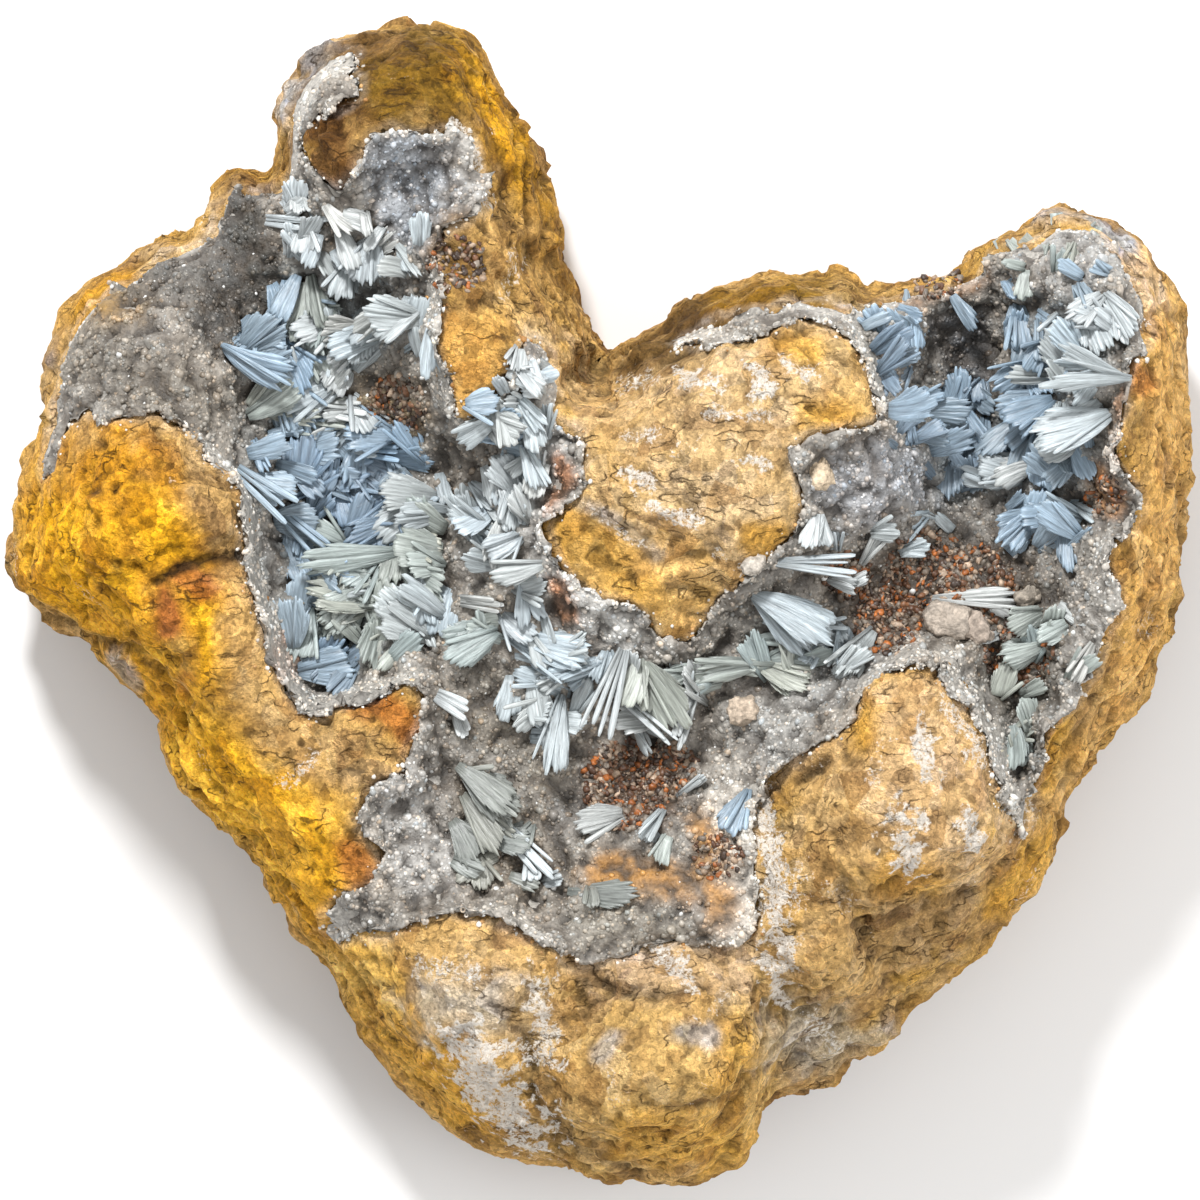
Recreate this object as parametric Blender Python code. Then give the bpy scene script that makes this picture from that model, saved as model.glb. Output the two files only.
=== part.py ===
"""Barite sprays on a quartz-crusted limonite specimen, lying on its back.

The rock is a map: one net of points seen from above, shared by the limonite and by the quartz
crust that lines its hollows, so that their facets run side by side. Heights come from spot
heights placed by hand. The barite sprays stand on the crust. Lengths are in millimetres until
the meshes are made. +X is the specimen's right, +Y its top and +Z its face.
"""

import math
import random
from collections import Counter

import bmesh
import bpy
import numpy as np
from mathutils import Matrix, Vector, bvhtree, geometry, noise

MM = 0.001
SEED = 11

# The net
NET_PITCH = 9.0  # between points of the open ground
CRACK_PITCH = 7.0  # between points along a crack
EDGE_PITCH = 8.0  # between points along the crust's edge
LEAST_EDGE = 4.0  # the shortest stretch kept along the crust's edge
FOOT_OFFSET = 2.8  # from the crust's edge to the foot of the hollow's wall
SHOULDER_OFFSET = 3.6  # from the outline to the first ring of points inside it
WALL_WIDTH = 4.6
SHOULDER_WIDTH = 13.0
RIM_HEIGHT = 27.0
RIM_SWING = 7.0
SPOT_BLEND = 6.0

# Gaps and skins
GAP = 0.3
CRUST_EDGE_THICKNESS = 1.3
CRUST_INNER_THICKNESS = 3.4
MAT_THICKNESS = 2.4
BASE_INSET = 0.84
FLANK_SWAY = 0.3  # how far the flank's lumps go in and out, as a share of its undercut
FLANK_BOB = 6.0

# The specimen's outline, clockwise from the notch left of its tower
OUTLINE = [
    (-66, 86), (-64.5, 91), (-65.5, 98), (-63.5, 104), (-60, 108.5), (-55.5, 112.5),
    (-51, 115), (-44, 115.4), (-38.5, 117.4), (-34.5, 117.7), (-30.5, 115.8), (-25.5, 115.2),
    (-22.5, 110), (-19, 104), (-15.5, 98), (-12.2, 92.5), (-10.3, 86), (-7, 79),
    (-7.8, 72.5), (-6.7, 66), (-3.6, 59), (-1.2, 54), (-0.3, 47), (4.5, 51.5),
    (10, 54), (15, 58.5), (21, 62.3), (27.5, 64.7), (35.5, 67.8), (42, 66.4),
    (48.5, 67.7), (53, 65.7), (55.3, 62.4), (59.5, 65.1), (66.5, 65.2), (72.5, 67.5),
    (76.7, 71.5), (78, 75.2), (86.5, 75.4), (89.5, 79.5), (92.8, 82.5), (98, 80.5),
    (102, 78.8), (105, 76.6), (110, 74), (113, 69.5), (115.6, 63), (118.1, 56.5),
    (118.2, 48), (118.6, 40), (119, 32), (118.3, 24), (117.2, 16), (118, 8),
    (117.5, 0), (114.8, -7), (112.3, -14), (110.8, -21), (105, -25), (100, -31),
    (95.5, -37), (93.2, -43), (91.5, -50.5), (88.8, -58), (82.8, -62.3), (80.3, -67.5),
    (74.5, -73), (68, -77.7), (61.5, -82), (58.5, -87.8), (51.5, -90.3), (48.5, -95.5),
    (43.5, -99.4), (35.5, -99), (32.6, -104), (29, -109), (25.5, -115), (20, -117.5),
    (14, -117.7), (7, -116.2), (0, -115.2), (-6, -113.6), (-14, -112.5), (-23.5, -110.9),
    (-29, -106.5), (-34, -101.5), (-40, -96), (-45, -89.8), (-50, -84), (-52.3, -77),
    (-55.5, -71.8), (-61.7, -66), (-63.4, -60.3), (-68.5, -53.5), (-72.5, -48.6), (-76.5, -44),
    (-80.5, -40.6), (-85.5, -37), (-88.1, -31), (-87.4, -23), (-93, -18), (-99.5, -13.7),
    (-103, -7.3), (-109.5, -4.6), (-115, 0), (-119, 7), (-118, 14), (-116.5, 22),
    (-116, 28.8), (-112.6, 34.5), (-111.4, 40), (-112.4, 46), (-110.5, 53), (-107, 60),
    (-103, 64.5), (-96.5, 66.8), (-91, 71.6), (-85, 74.5), (-79.4, 77), (-78.6, 83),
    (-75, 88), (-71, 89.2), (-68, 86),
]

# The crust's edge, clockwise from the left rim: shelf, tower, centre, right hollow, channel
CRUST_EDGE = [
    (-112.3, 26.5), (-112, 31), (-109, 36), (-108.3, 41), (-109, 46), (-107.3, 52),
    (-104, 58.5), (-101, 61.5), (-95.5, 63.5), (-89.5, 68.5), (-84, 71.2), (-76.4, 74),
    (-75.4, 82), (-71.5, 85.8), (-68.5, 82.7), (-63, 83.5), (-61.6, 91), (-62.3, 98),
    (-60.3, 103), (-56.5, 107.5), (-52.5, 111.5), (-48, 112.2), (-49.5, 108), (-46.5, 104),
    (-48.5, 100.3), (-55, 99), (-59.4, 95), (-60, 89.5), (-56, 86.5), (-52, 81.2),
    (-48.3, 82.5), (-47.5, 87), (-45, 91), (-44.6, 96.3), (-40.5, 94.2), (-35.5, 93.2),
    (-31.5, 94.3), (-27.5, 96.3), (-25, 92), (-22.5, 86.5), (-20.5, 81), (-25, 77),
    (-30.5, 75.5), (-33, 70), (-31.5, 64.5), (-31, 59), (-33.5, 54), (-31, 49),
    (-30.5, 42), (-28.5, 37.3), (-24, 35.8), (-20, 39), (-18, 44.5), (-15.5, 49.5),
    (-13.6, 53.6), (-9.5, 52.6), (-8.5, 47.5), (-8.7, 43), (-12.5, 39.5), (-12, 36.2),
    (-7, 36), (-3, 34.5), (-3, 27.5), (-3.4, 21), (-9, 19.3), (-11, 14.5),
    (-8, 8.5), (-4, 3.5), (1, 0), (6.5, 1), (10.3, -3), (12, -7),
    (16.5, -8.5), (20, -5), (25, 0.5), (29, 5.5), (35, 9.5), (39.5, 14),
    (41.5, 19), (40.6, 23.5), (38.3, 28), (41.5, 33.8), (48, 34.8), (57.6, 36),
    (55.8, 42), (54.8, 48), (50.8, 53.5), (46, 57), (39, 57.2), (33, 54.2),
    (26, 52.6), (19, 51.8), (13.5, 53), (17.5, 55.2), (23, 57), (29, 58.4),
    (36.5, 59.6), (43, 61.6), (47, 61), (50.5, 58.6), (54, 59.8), (58, 61.8),
    (63, 62.3), (64.5, 59.6), (69, 60.8), (73, 64.5), (77.5, 67.5), (80, 72.3),
    (87.5, 72.4), (91, 76.8), (94, 79), (100, 76.3), (102.5, 73), (103.8, 68.5),
    (109, 63.5), (110.8, 58), (110.3, 53), (106.5, 48.5), (105.8, 43.5), (107.5, 40),
    (103.8, 35.5), (102.3, 29.5), (105.5, 25.5), (109.5, 20), (108.5, 15), (102.5, 13.5),
    (100.3, 9.5), (103, 4.5), (104, -2), (101.5, -9), (98, -15.5), (94, -22),
    (89.5, -25), (88.8, -30.5), (90.3, -34), (87, -39.5), (85.5, -46.5), (83, -43),
    (80.2, -35.5), (78, -27.5), (74, -19.5), (68.5, -12.5), (62, -10), (57.5, -12.5),
    (52, -18), (49.5, -24.5), (43.5, -27.8), (38, -31), (33, -37), (30.5, -45),
    (31, -53), (33.5, -60), (31, -66.5), (24.5, -68.5), (16, -66.5), (9.5, -69.3),
    (0, -71), (-5.5, -72.5), (-9, -67.5), (-13.5, -65), (-12.5, -62.3), (-19, -61.5),
    (-25, -62), (-30, -60), (-36, -62.8), (-41, -65.8), (-48, -66), (-53.6, -68.2),
    (-54.5, -63), (-51, -58.3), (-44, -55), (-42, -50.5), (-46.5, -45), (-47.5, -39.5),
    (-43, -35.3), (-36.5, -34.5), (-38, -30), (-35, -25), (-34, -18.5), (-36, -13.8),
    (-41, -16), (-47, -18.5), (-53, -20.3), (-57.5, -22), (-62, -17.5), (-64.5, -11),
    (-66.3, -5), (-68, 1), (-69.8, 7), (-70, 13.5), (-69.5, 19), (-72, 25),
    (-77.3, 29.5), (-79.5, 33.5), (-85, 36), (-89, 38.7), (-95.5, 37), (-102, 38.8),
    (-106.5, 36), (-108, 31), (-108.5, 26),
]

# Places along the floors of narrow hollows, for the net to follow
HOLLOW_LINES = [
    (83, -15), (84, -22), (84, -29), (84.6, -36), (84.6, -42),
    (18, 53.6), (26, 54.9), (36, 58), (43, 59.4), (48.5, 59),
    (-12, 42), (-12, 48.5),
]

# Spot heights (x, y, z) of the limonite's lobes
UPLAND_SPOTS = [
    # Tower
    (-40, 113, 54), (-55, 108, 56), (-45, 103, 68), (-35, 104, 72), (-25, 108, 62),
    (-50, 92, 74), (-57, 92, 70), (-35, 98, 74), (-22, 92, 70), (-14, 86, 54),
    (-12, 76, 54), (-22, 75, 74), (-27, 66, 76), (-14, 66, 64), (-7, 62, 46),
    (-25, 50, 79), (-20, 58, 76), (-10, 52, 68), (-3, 52, 54), (-25, 40, 74),
    (-10, 45, 68), (-30, 70, 74),
    # Centre tongue
    (2, 42, 66), (10, 49, 64), (20, 46, 72), (30, 46, 76), (45, 50, 74),
    (52, 42, 75), (10, 30, 77), (25, 28, 80), (36, 28, 79), (40, 38, 79),
    (5, 20, 75), (15, 15, 77), (25, 15, 77), (35, 15, 73), (16, 2, 72),
    (26, 7, 71), (1, 10, 73), (-7, 15, 72), (15, -5, 66),
    # Ridge behind the tongue
    (12, 56, 50), (22, 60, 57), (33, 63, 62), (42, 64, 62), (50, 63, 58), (57, 63, 50),
    # Left lobe
    (-112, 10, 50), (-108, 20, 60), (-105, 5, 62), (-100, 30, 68), (-95, 20, 78),
    (-95, 5, 76), (-85, 30, 74), (-80, 20, 76), (-74, 15, 74), (-85, 5, 77),
    (-73, 2, 73), (-90, -8, 68), (-80, -8, 75), (-71, -12, 73), (-64, -18, 68),
    (-100, -4, 56), (-94, -14, 46), (-84, -18, 62), (-111, 30, 50), (-78, 28, 68),
    # Lower left band
    (-80, -28, 60), (-70, -28, 70), (-60, -26, 71), (-50, -24, 71), (-40, -22, 68),
    (-75, -38, 56), (-62, -38, 69), (-52, -38, 71), (-66, -50, 54), (-56, -50, 66),
    (-47, -52, 66), (-58, -62, 54), (-42, -30, 68),
    # Bottom left lobe
    (-50, -73, 54), (-40, -70, 66), (-30, -66, 72), (-45, -82, 54), (-35, -80, 68),
    (-22, -80, 76), (-10, -76, 74), (-35, -92, 58), (-22, -92, 72), (-12, -90, 72),
    (-25, -103, 54), (-12, -105, 60), (-8, -84, 70),
    # Bottom nodule
    (10, -76, 75), (25, -76, 75), (33, -78, 70), (0, -84, 77), (15, -88, 85),
    (28, -90, 78), (-8, -95, 72), (5, -98, 82), (20, -100, 76), (30, -100, 60),
    (0, -108, 64), (15, -110, 60), (-5, -111, 52),
    # Lower right nodule
    (60, -13, 75), (65, -16, 77), (55, -22, 77), (70, -25, 79), (60, -30, 85),
    (50, -32, 80), (75, -35, 79), (65, -42, 86), (52, -45, 83), (40, -42, 75),
    (78, -45, 72), (42, -55, 77), (55, -55, 82), (70, -52, 78), (40, -64, 72),
    (50, -61, 76), (62, -57, 74), (35, -50, 70), (35, -64, 68),
    # Small nodule, dark facet and grey foot
    (48, -72, 71), (60, -66, 60), (70, -66, 52), (62, -75, 48), (78, -60, 54),
    (86, -54, 54), (45, -90, 42), (55, -85, 44), (40, -95, 40), (40, -84, 54),
    # Right rim
    (112, 60, 58), (114, 50, 62), (112, 40, 68), (114, 30, 66), (112, 20, 68),
    (113, 10, 66), (110, 0, 64), (107, -8, 62), (105, -18, 54), (97, -22, 60),
    (92, -30, 60), (91, -40, 54), (87, -48, 56), (106, 8, 71), (106, 33, 73),
    (109, 48, 70), (106, 68, 62), (109, 70, 54),
    # Shelf and right dome, which carry on under the crust
    (95, 76, 54), (88, 70, 58), (100, 72, 60), (80, 70, 52), (98, 66, 62),
    (-105, 58, 48), (-100, 50, 55), (-90, 62, 54), (-85, 70, 48), (-95, 45, 60),
    (-105, 42, 52), (-80, 55, 58), (-85, 45, 61), (-79, 40, 62), (-72, 80, 50),
    (-72, 72, 54), (-62, 86, 58), (-61, 100, 58),
]

# Spot heights (x, y, z) of the ground under the crust
HOLLOW_SPOTS = [
    # Left shelf, level with the lobes round it
    (-108, 33, 50), (-105, 42, 51), (-108, 50, 46), (-100, 50, 54), (-105, 58, 46),
    (-90, 62, 53), (-85, 70, 46), (-95, 44, 58), (-80, 55, 55), (-86, 45, 58),
    (-78, 40, 57), (-72, 80, 48), (-76, 66, 49),
    # Tower and its pocket
    (-62, 88, 58), (-61, 100, 58), (-53, 108, 62), (-52, 103, 66), (-42, 88, 62),
    (-32, 86, 62), (-26, 90, 67), (-24, 80, 70), (-40, 76, 58),
    # Left hollow
    (-70, 60, 42), (-66, 72, 46), (-58, 76, 52), (-60, 60, 42), (-60, 48, 42),
    (-68, 42, 45), (-48, 72, 53), (-47, 62, 49), (-36, 64, 57), (-50, 50, 44),
    (-40, 45, 49), (-34, 50, 55), (-72, 33, 47), (-50, 30, 40), (-45, 22, 38),
    (-55, 22, 40), (-64, 22, 41), (-40, 14, 43), (-55, 5, 43), (-45, 0, 45),
    (-62, -3, 40), (-56, -12, 39), (-45, -10, 46), (-30, 30, 50), (-65, 12, 41),
    # Centre field
    (-20, 28, 58), (-10, 30, 64), (-14, 46, 66), (-30, 8, 51), (-15, 8, 59),
    (-25, -2, 54), (-10, -5, 59), (-22, -15, 54), (-30, -18, 54), (-10, -20, 54),
    (0, -12, 59), (0, -26, 49), (10, -12, 58), (10, -35, 49), (20, -22, 51),
    (0, -36, 49), (-20, -30, 54), (-30, -30, 55), (-28, -45, 55), (-40, -43, 57),
    (-18, -47, 55), (-32, -55, 58), (-47, -61, 60), (-15, -57, 55), (-5, -50, 57),
    (0, -42, 55), (0, -60, 61), (9, -66, 66), (12, -50, 61), (20, -42, 60),
    (23, -56, 65), (29, -64, 67), (27, -38, 60), (32, -28, 60), (42, -22, 64),
    (30, -15, 56), (40, -5, 54), (30, 0, 56), (45, 5, 53), (42, 14, 63),
    # Grey wedge by the tongue
    (50, 26, 68), (60, 31, 63), (61, 21, 58), (44, 31, 72),
    # Gravel bed
    (55, -8, 52), (62, -5, 50), (55, 5, 49), (63, 6, 46), (70, -2, 52),
    (73, -9, 56), (76, 8, 45), (80, 0, 46),
    # Channel
    (80, -13, 48), (84, -21, 48), (84, -30, 48), (85, -38, 50), (85, -44, 54),
    (92, -14, 58), (96, -4, 63), (90, 5, 53),
    # Right hollow
    (86, 15, 46), (96, 14, 53), (105, 19, 61), (75, 20, 38), (68, 25, 38),
    (80, 30, 36), (75, 40, 31), (69, 46, 33), (62, 45, 42), (78, 54, 31),
    (72, 56, 35), (65, 56, 44), (58, 50, 52), (60, 40, 51), (85, 50, 43),
    (83, 61, 42), (91, 55, 51), (99, 50, 58), (89, 40, 50), (98, 40, 60),
    (90, 30, 51), (98, 29, 58), (90, 64, 53), (104, 58, 62), (57, 58, 53),
    # Band behind the tongue, and the dome
    (47, 59, 59), (37, 57.6, 56), (26, 55, 53), (17, 53.6, 51), (84, 70, 52),
    (94, 75, 52), (100, 70, 60),
]

# Cracks and ledges (depth, half width, places)
GROOVES = [
    (5.0, 3.0, [(-88, 6.5), (-80, 8.5), (-70, 10)]),
    (5.0, 4.0, [(-116, 3), (-106, -2.5), (-95, -8), (-88, -15), (-85, -22)]),
    (3.0, 4.0, [(-86, -22), (-77, -24), (-67, -23.5), (-58, -24)]),
    (3.5, 3.0, [(-54, -34.5), (-47, -32.5), (-39, -29)]),
    (6.5, 4.0, [(-5, -73), (-5, -83), (-13, -86), (-14, -93), (-12, -101), (-7, -108), (-5, -115)]),
    (7.0, 4.0, [(-3, -75), (1, -71.5), (11, -70), (17, -67.5), (25, -69.8), (32, -70), (36.5, -75),
                (37, -81), (38.5, -90), (35, -99)]),
    (5.5, 4.0, [(38, -80), (46, -81), (54, -78.5), (62, -80.5)]),
    (7.0, 4.5, [(52, -63.5), (56, -69), (58.5, -75), (63, -79)]),
    (5.5, 4.5, [(54, -64), (61, -61), (67, -59), (75, -58.5), (81, -55), (90, -52)]),
    (4.0, 3.5, [(-3, 19), (0, 17), (1.5, 11), (0, 5.5), (5, 5), (9.5, 7)]),
    (4.0, 3.5, [(15, -6), (20, -1), (25, 1.5)]),
    (4.0, 4.0, [(-30, 101), (-25.5, 93), (-21, 84), (-18, 74), (-17, 62), (-15.5, 55)]),
    (3.0, 3.5, [(-27, 113), (-20, 100), (-15.5, 88), (-12, 75), (-9, 62)]),
    (4.0, 3.5, [(39, -35), (44, -31.5), (50, -30)]),
    (3.0, 3.5, [(92, -46), (97, -34), (104, -22), (109, -8), (111.5, 4)]),
    (3.0, 3.0, [(-44, -72), (-36, -68.5), (-28, -64.5), (-20, -66.5), (-13, -66)]),
    (3.5, 3.5, [(-49, -86), (-40, -94), (-30, -103), (-20, -107), (-9, -108)]),
    (4.0, 3.5, [(0, -82), (6, -84), (12, -82), (20, -86), (30, -84), (36, -80)]),
    (3.0, 3.5, [(13, -103), (22, -102), (31, -98)]),
    (3.0, 3.0, [(-60, 96), (-56, 88), (-51.5, 82)]),
    (3.5, 3.0, [(-99, 31), (-107, 29), (-112, 24)]),
]

# Barite sprays (x, y, heading in degrees, length, opening in degrees), in groups that grew together
SPRAYS = {
    "barite_tower": [
        (-60, 80, 100, 6, 110), (-58, 77, 265, 7, 90), (-44, 74, 262, 10, 80),
        (-40, 72, 312, 11, 30),
    ],
    "barite_left_hollow": [
        (-59, 66, 262, 12, 80), (-34, 60, 222, 15, 50), (-75, 52, 330, 17, 25),
        (-56, 41, 60, 11, 60),
        (-71, 38, 20, 15, 45), (-61, 22, 38, 16, 34), (-49, 29, 306, 15, 34),
        (-72, 27, 322, 18, 18),
        (-38, 11, 190, 23, 28), (-42, 14, 346, 12, 60), (-43, 2, 200, 17, 50),
        (-49, -8, 246, 12, 60), (-35, 8, 265, 13, 40),
    ],
    "barite_centre_top": [
        (-16, 33, 165, 9, 60), (-20, 30, 280, 12, 45), (-25, 21, 306, 11, 46),
    ],
    "barite_centre": [
        (-11, 6, 202, 11, 40), (-15, 5, 270, 11, 26), (-18, -5, 208, 11, 55),
        (-18, -6, 340, 18, 42), (-7, -18, 260, 18, 28), (5, -9, 250, 20, 12), (9, -12, 305, 16, 70),
        (4, -16, 318, 18, 14), (20, -16, 252, 14, 16), (36, -12, 178, 18, 22),
        (33, -12, 328, 12, 66), (31, 2, 334, 20, 34), (55, -5, 236, 15, 46),
    ],
    "barite_tongue_foot": [(36, 8, 356, 18, 14)],
    "barite_wedge": [(70, 16, 172, 21, 32)],
    "barite_ring": [(-16, 47, 312, 8, 34)],
    "barite_lower": [
        (-28, -32, 325, 16, 36), (-27, -38, 305, 15, 42), (-20, -43, 315, 17, 10),
        (-20, -50, 200, 11, 50), (-8, -56, 346, 18, 30),
    ],
    "barite_lower_fan": [(5, -42, 192, 11, 58)],
    "barite_lower_right_fan": [(13, -41, 232, 10, 42)],
    "barite_foot": [(30, -37, 246, 11, 40)],
    "barite_tongue_side": [
        (62, 54, 206, 9, 60), (62, 62, 276, 12, 20), (56, 49, 284, 11, 42),
        (65, 38, 230, 10, 60),
    ],
    "barite_hollow_top": [(71, 62, 300, 9, 36)],
    "barite_right_hollow": [
        (70, 31, 268, 12, 86), (78, 31, 268, 9, 76), (76, 35, 196, 11, 56),
        (72, 36, 84, 13, 26), (73, 40, 300, 12, 16),
        (84, 60, 280, 11, 60), (89, 57, 300, 12, 50), (101, 62, 308, 11, 50),
        (88, 49, 216, 12, 52), (106, 45, 176, 19, 20), (91, 41, 200, 12, 52),
        (102, 38, 206, 17, 52), (88, 34, 308, 14, 80), (88, 28, 190, 10, 50),
    ],
    "barite_right_lower": [
        (84, 17, 354, 19, 22), (87, 18, 226, 10, 60), (94, 18, 274, 13, 50),
    ],
    "barite_gravel": [(67, 1.5, 358, 19, 20)],
    "barite_channel_top": [
        (88, -9, 46, 13, 50), (92, 0, 324, 10, 50), (89, -8, 206, 10, 50),
    ],
    "barite_channel": [(83, -24, 280, 10, 62)],
    "barite_dome": [(81, 74, 316, 9, 50), (86, 67, 262, 7, 60)],
}

# Ground that a mass of barite covers whole, so that its sprays are one piece
MATS = {
    "barite_tower": [
        (-65, 82), (-57, 84), (-50, 80), (-40, 78), (-33, 70), (-38, 65), (-46, 66), (-54, 67),
        (-62, 69),
    ],
    "barite_left_hollow": [
        (-72, 54), (-66, 64), (-59, 66), (-52, 61), (-44, 60), (-37, 62), (-32, 57), (-35, 48),
        (-45, 50), (-50, 44), (-46, 37), (-38, 34), (-35, 27), (-35, 19), (-33, 13), (-32, 6),
        (-34, 1), (-36, -8), (-40, -11), (-46, -14), (-54, -18), (-60, -14), (-62, -6), (-60, 2),
        (-61, 10), (-66, 16), (-68, 22), (-72, 28), (-67, 35), (-72, 43),
    ],
    "barite_centre_top": [
        (-25, 36), (-16, 37), (-13, 28), (-14, 18), (-18, 11), (-24, 13), (-26, 20), (-23, 26),
    ],
    "barite_centre": [
        (-21, 5), (-11, 6), (-10, -3), (1, -9), (10, -10), (22, -12), (30, -8), (34, 2),
        (44, -1), (54, -6), (49, -17), (38, -18), (26, -16), (16, -24), (6, -18), (-2, -18),
        (-6, -28), (-14, -26), (-19, -18), (-18, -10), (-27, -11), (-27, -4), (-20, -3),
    ],
    "barite_tongue_side": [
        (53, 58), (60, 61), (65, 58), (64, 50), (60, 44), (66, 41), (66, 34), (59, 31),
        (58, 38), (56, 46), (52, 54),
    ],
    "barite_right_hollow": [
        (84, 60), (92, 58), (100, 62), (106, 60), (107, 53), (102, 47), (104, 41), (100, 33),
        (98, 26), (90, 23), (76, 24), (66, 27), (68, 34), (78, 33), (86, 34), (80, 38), (81, 46), (83, 52),
    ],
    "barite_right_lower": [(82, 19), (97, 18), (99, 10), (95, 7), (89, 10), (80, 10)],
    "barite_lower": [
        (-28, -31), (-20, -33), (-13, -43), (-9, -52), (3, -56), (2, -61), (-10, -59),
        (-17, -55), (-27, -56), (-30, -49), (-25, -44),
    ],
}


def clear_scene():
    for item in list(bpy.data.objects):
        bpy.data.objects.remove(item, do_unlink=True)


def collection_named(name, parent=None, hidden=False):
    group = bpy.data.collections.new(name)
    (parent or bpy.context.scene.collection).children.link(group)
    group.hide_render = hidden
    return group


def material(name, colour, roughness, metallic=0.0):
    made = bpy.data.materials.new(name)
    made.use_nodes = True
    surface = made.node_tree.nodes["Principled BSDF"]
    surface.inputs["Base Color"].default_value = (*colour, 1.0)
    surface.inputs["Roughness"].default_value = roughness
    surface.inputs["Metallic"].default_value = metallic
    return made


def object_from(name, mesh_data, group):
    """Link a bmesh as an object, still in millimetres, where the Booleans are exact."""
    mesh = bpy.data.meshes.new(name)
    mesh_data.to_mesh(mesh)
    mesh_data.free()
    made = bpy.data.objects.new(name, mesh)
    group.objects.link(made)
    return made


def finish(made, surface):
    """Bring a finished object from millimetres to metres, and give it its material."""
    made.data.transform(Matrix.Scale(MM, 4))
    made.data.materials.clear()
    made.data.materials.append(surface)
    return made


def smoothstep(value):
    value = np.clip(value, 0.0, 1.0)
    return value * value * (3.0 - 2.0 * value)


def surface_through(spots):
    """A smooth surface through spot heights, as a function of an array of places."""
    places = np.array([spot[:2] for spot in spots], float)
    heights = np.array([spot[2] for spot in spots], float)

    def reach(points):
        gaps = points[:, None, :] - places[None, :, :]
        return np.sqrt((gaps ** 2).sum(axis=2) + SPOT_BLEND ** 2)

    weights = np.linalg.solve(reach(places), heights - heights.mean())
    return lambda points: reach(points) @ weights + heights.mean()


def distance_to(points, line, closed=True):
    """Distance from each place to the nearest stretch of a line."""
    line = np.array(line, float)
    starts = line if closed else line[:-1]
    ends = np.roll(line, -1, axis=0) if closed else line[1:]
    along = ends - starts
    out = points[:, None, :] - starts[None, :, :]
    share = (out * along).sum(axis=2) / (along ** 2).sum(axis=1)
    nearest = starts + np.clip(share, 0, 1)[:, :, None] * along
    return np.sqrt(((points[:, None, :] - nearest) ** 2).sum(axis=2).min(axis=1))


def inside(points, loop):
    """Whether each place lies inside a closed loop, by counting crossings."""
    loop = np.array(loop, float)
    x0, y0 = loop.T
    x1, y1 = np.roll(loop, -1, axis=0).T
    x, y = points[:, 0][:, None], points[:, 1][:, None]
    spans = (y0 > y) != (y1 > y)
    with np.errstate(divide="ignore", invalid="ignore"):
        crossing = x < (x1 - x0) * (y - y0) / (y1 - y0) + x0
    return (spans & crossing).sum(axis=1) % 2 == 1


def lumps(points, size, offset):
    """Rounded noise from -1 to 1 at each place."""
    return np.array([noise.noise(Vector((x / size, y / size, offset))) for x, y in points])


def resampled(line, pitch, closed=False):
    """The line's own corners, with its long stretches split at about the pitch."""
    found = []
    ends = line[1:] + line[:1] if closed else line[1:]
    for start, end in zip(line, ends):
        steps = max(1, round(math.dist(start, end) / pitch))
        for step in range(steps):
            share = step / steps
            found.append(tuple(a + (b - a) * share for a, b in zip(start, end)))
    return found


def thinned(loop, pitch):
    """Drop corners that come closer than the pitch to the one kept before."""
    found = [loop[0]]
    for place in loop[1:]:
        if math.dist(place, found[-1]) >= pitch and math.dist(place, loop[0]) >= pitch * 0.6:
            found.append(place)
    return found


def offset_points(loop, distance, least):
    """Places beside a clockwise loop's stretches, on its inside, clear of its other stretches."""
    made = []
    for start, end in zip(loop, loop[1:] + loop[:1]):
        middle = ((start[0] + end[0]) / 2, (start[1] + end[1]) / 2)
        run = math.dist(start, end)
        normal = ((end[1] - start[1]) / run, -(end[0] - start[0]) / run)
        made.append((middle[0] + normal[0] * distance, middle[1] + normal[1] * distance))
    made = np.array(made)
    return made[inside(made, loop) & (distance_to(made, loop) > least)]


def spread(points, apart):
    """Keep only places that are clear of every place kept before them."""
    kept = []
    for place in points:
        if all(math.dist(place, other) > apart for other in kept):
            kept.append(tuple(place))
    return np.array(kept)


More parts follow.
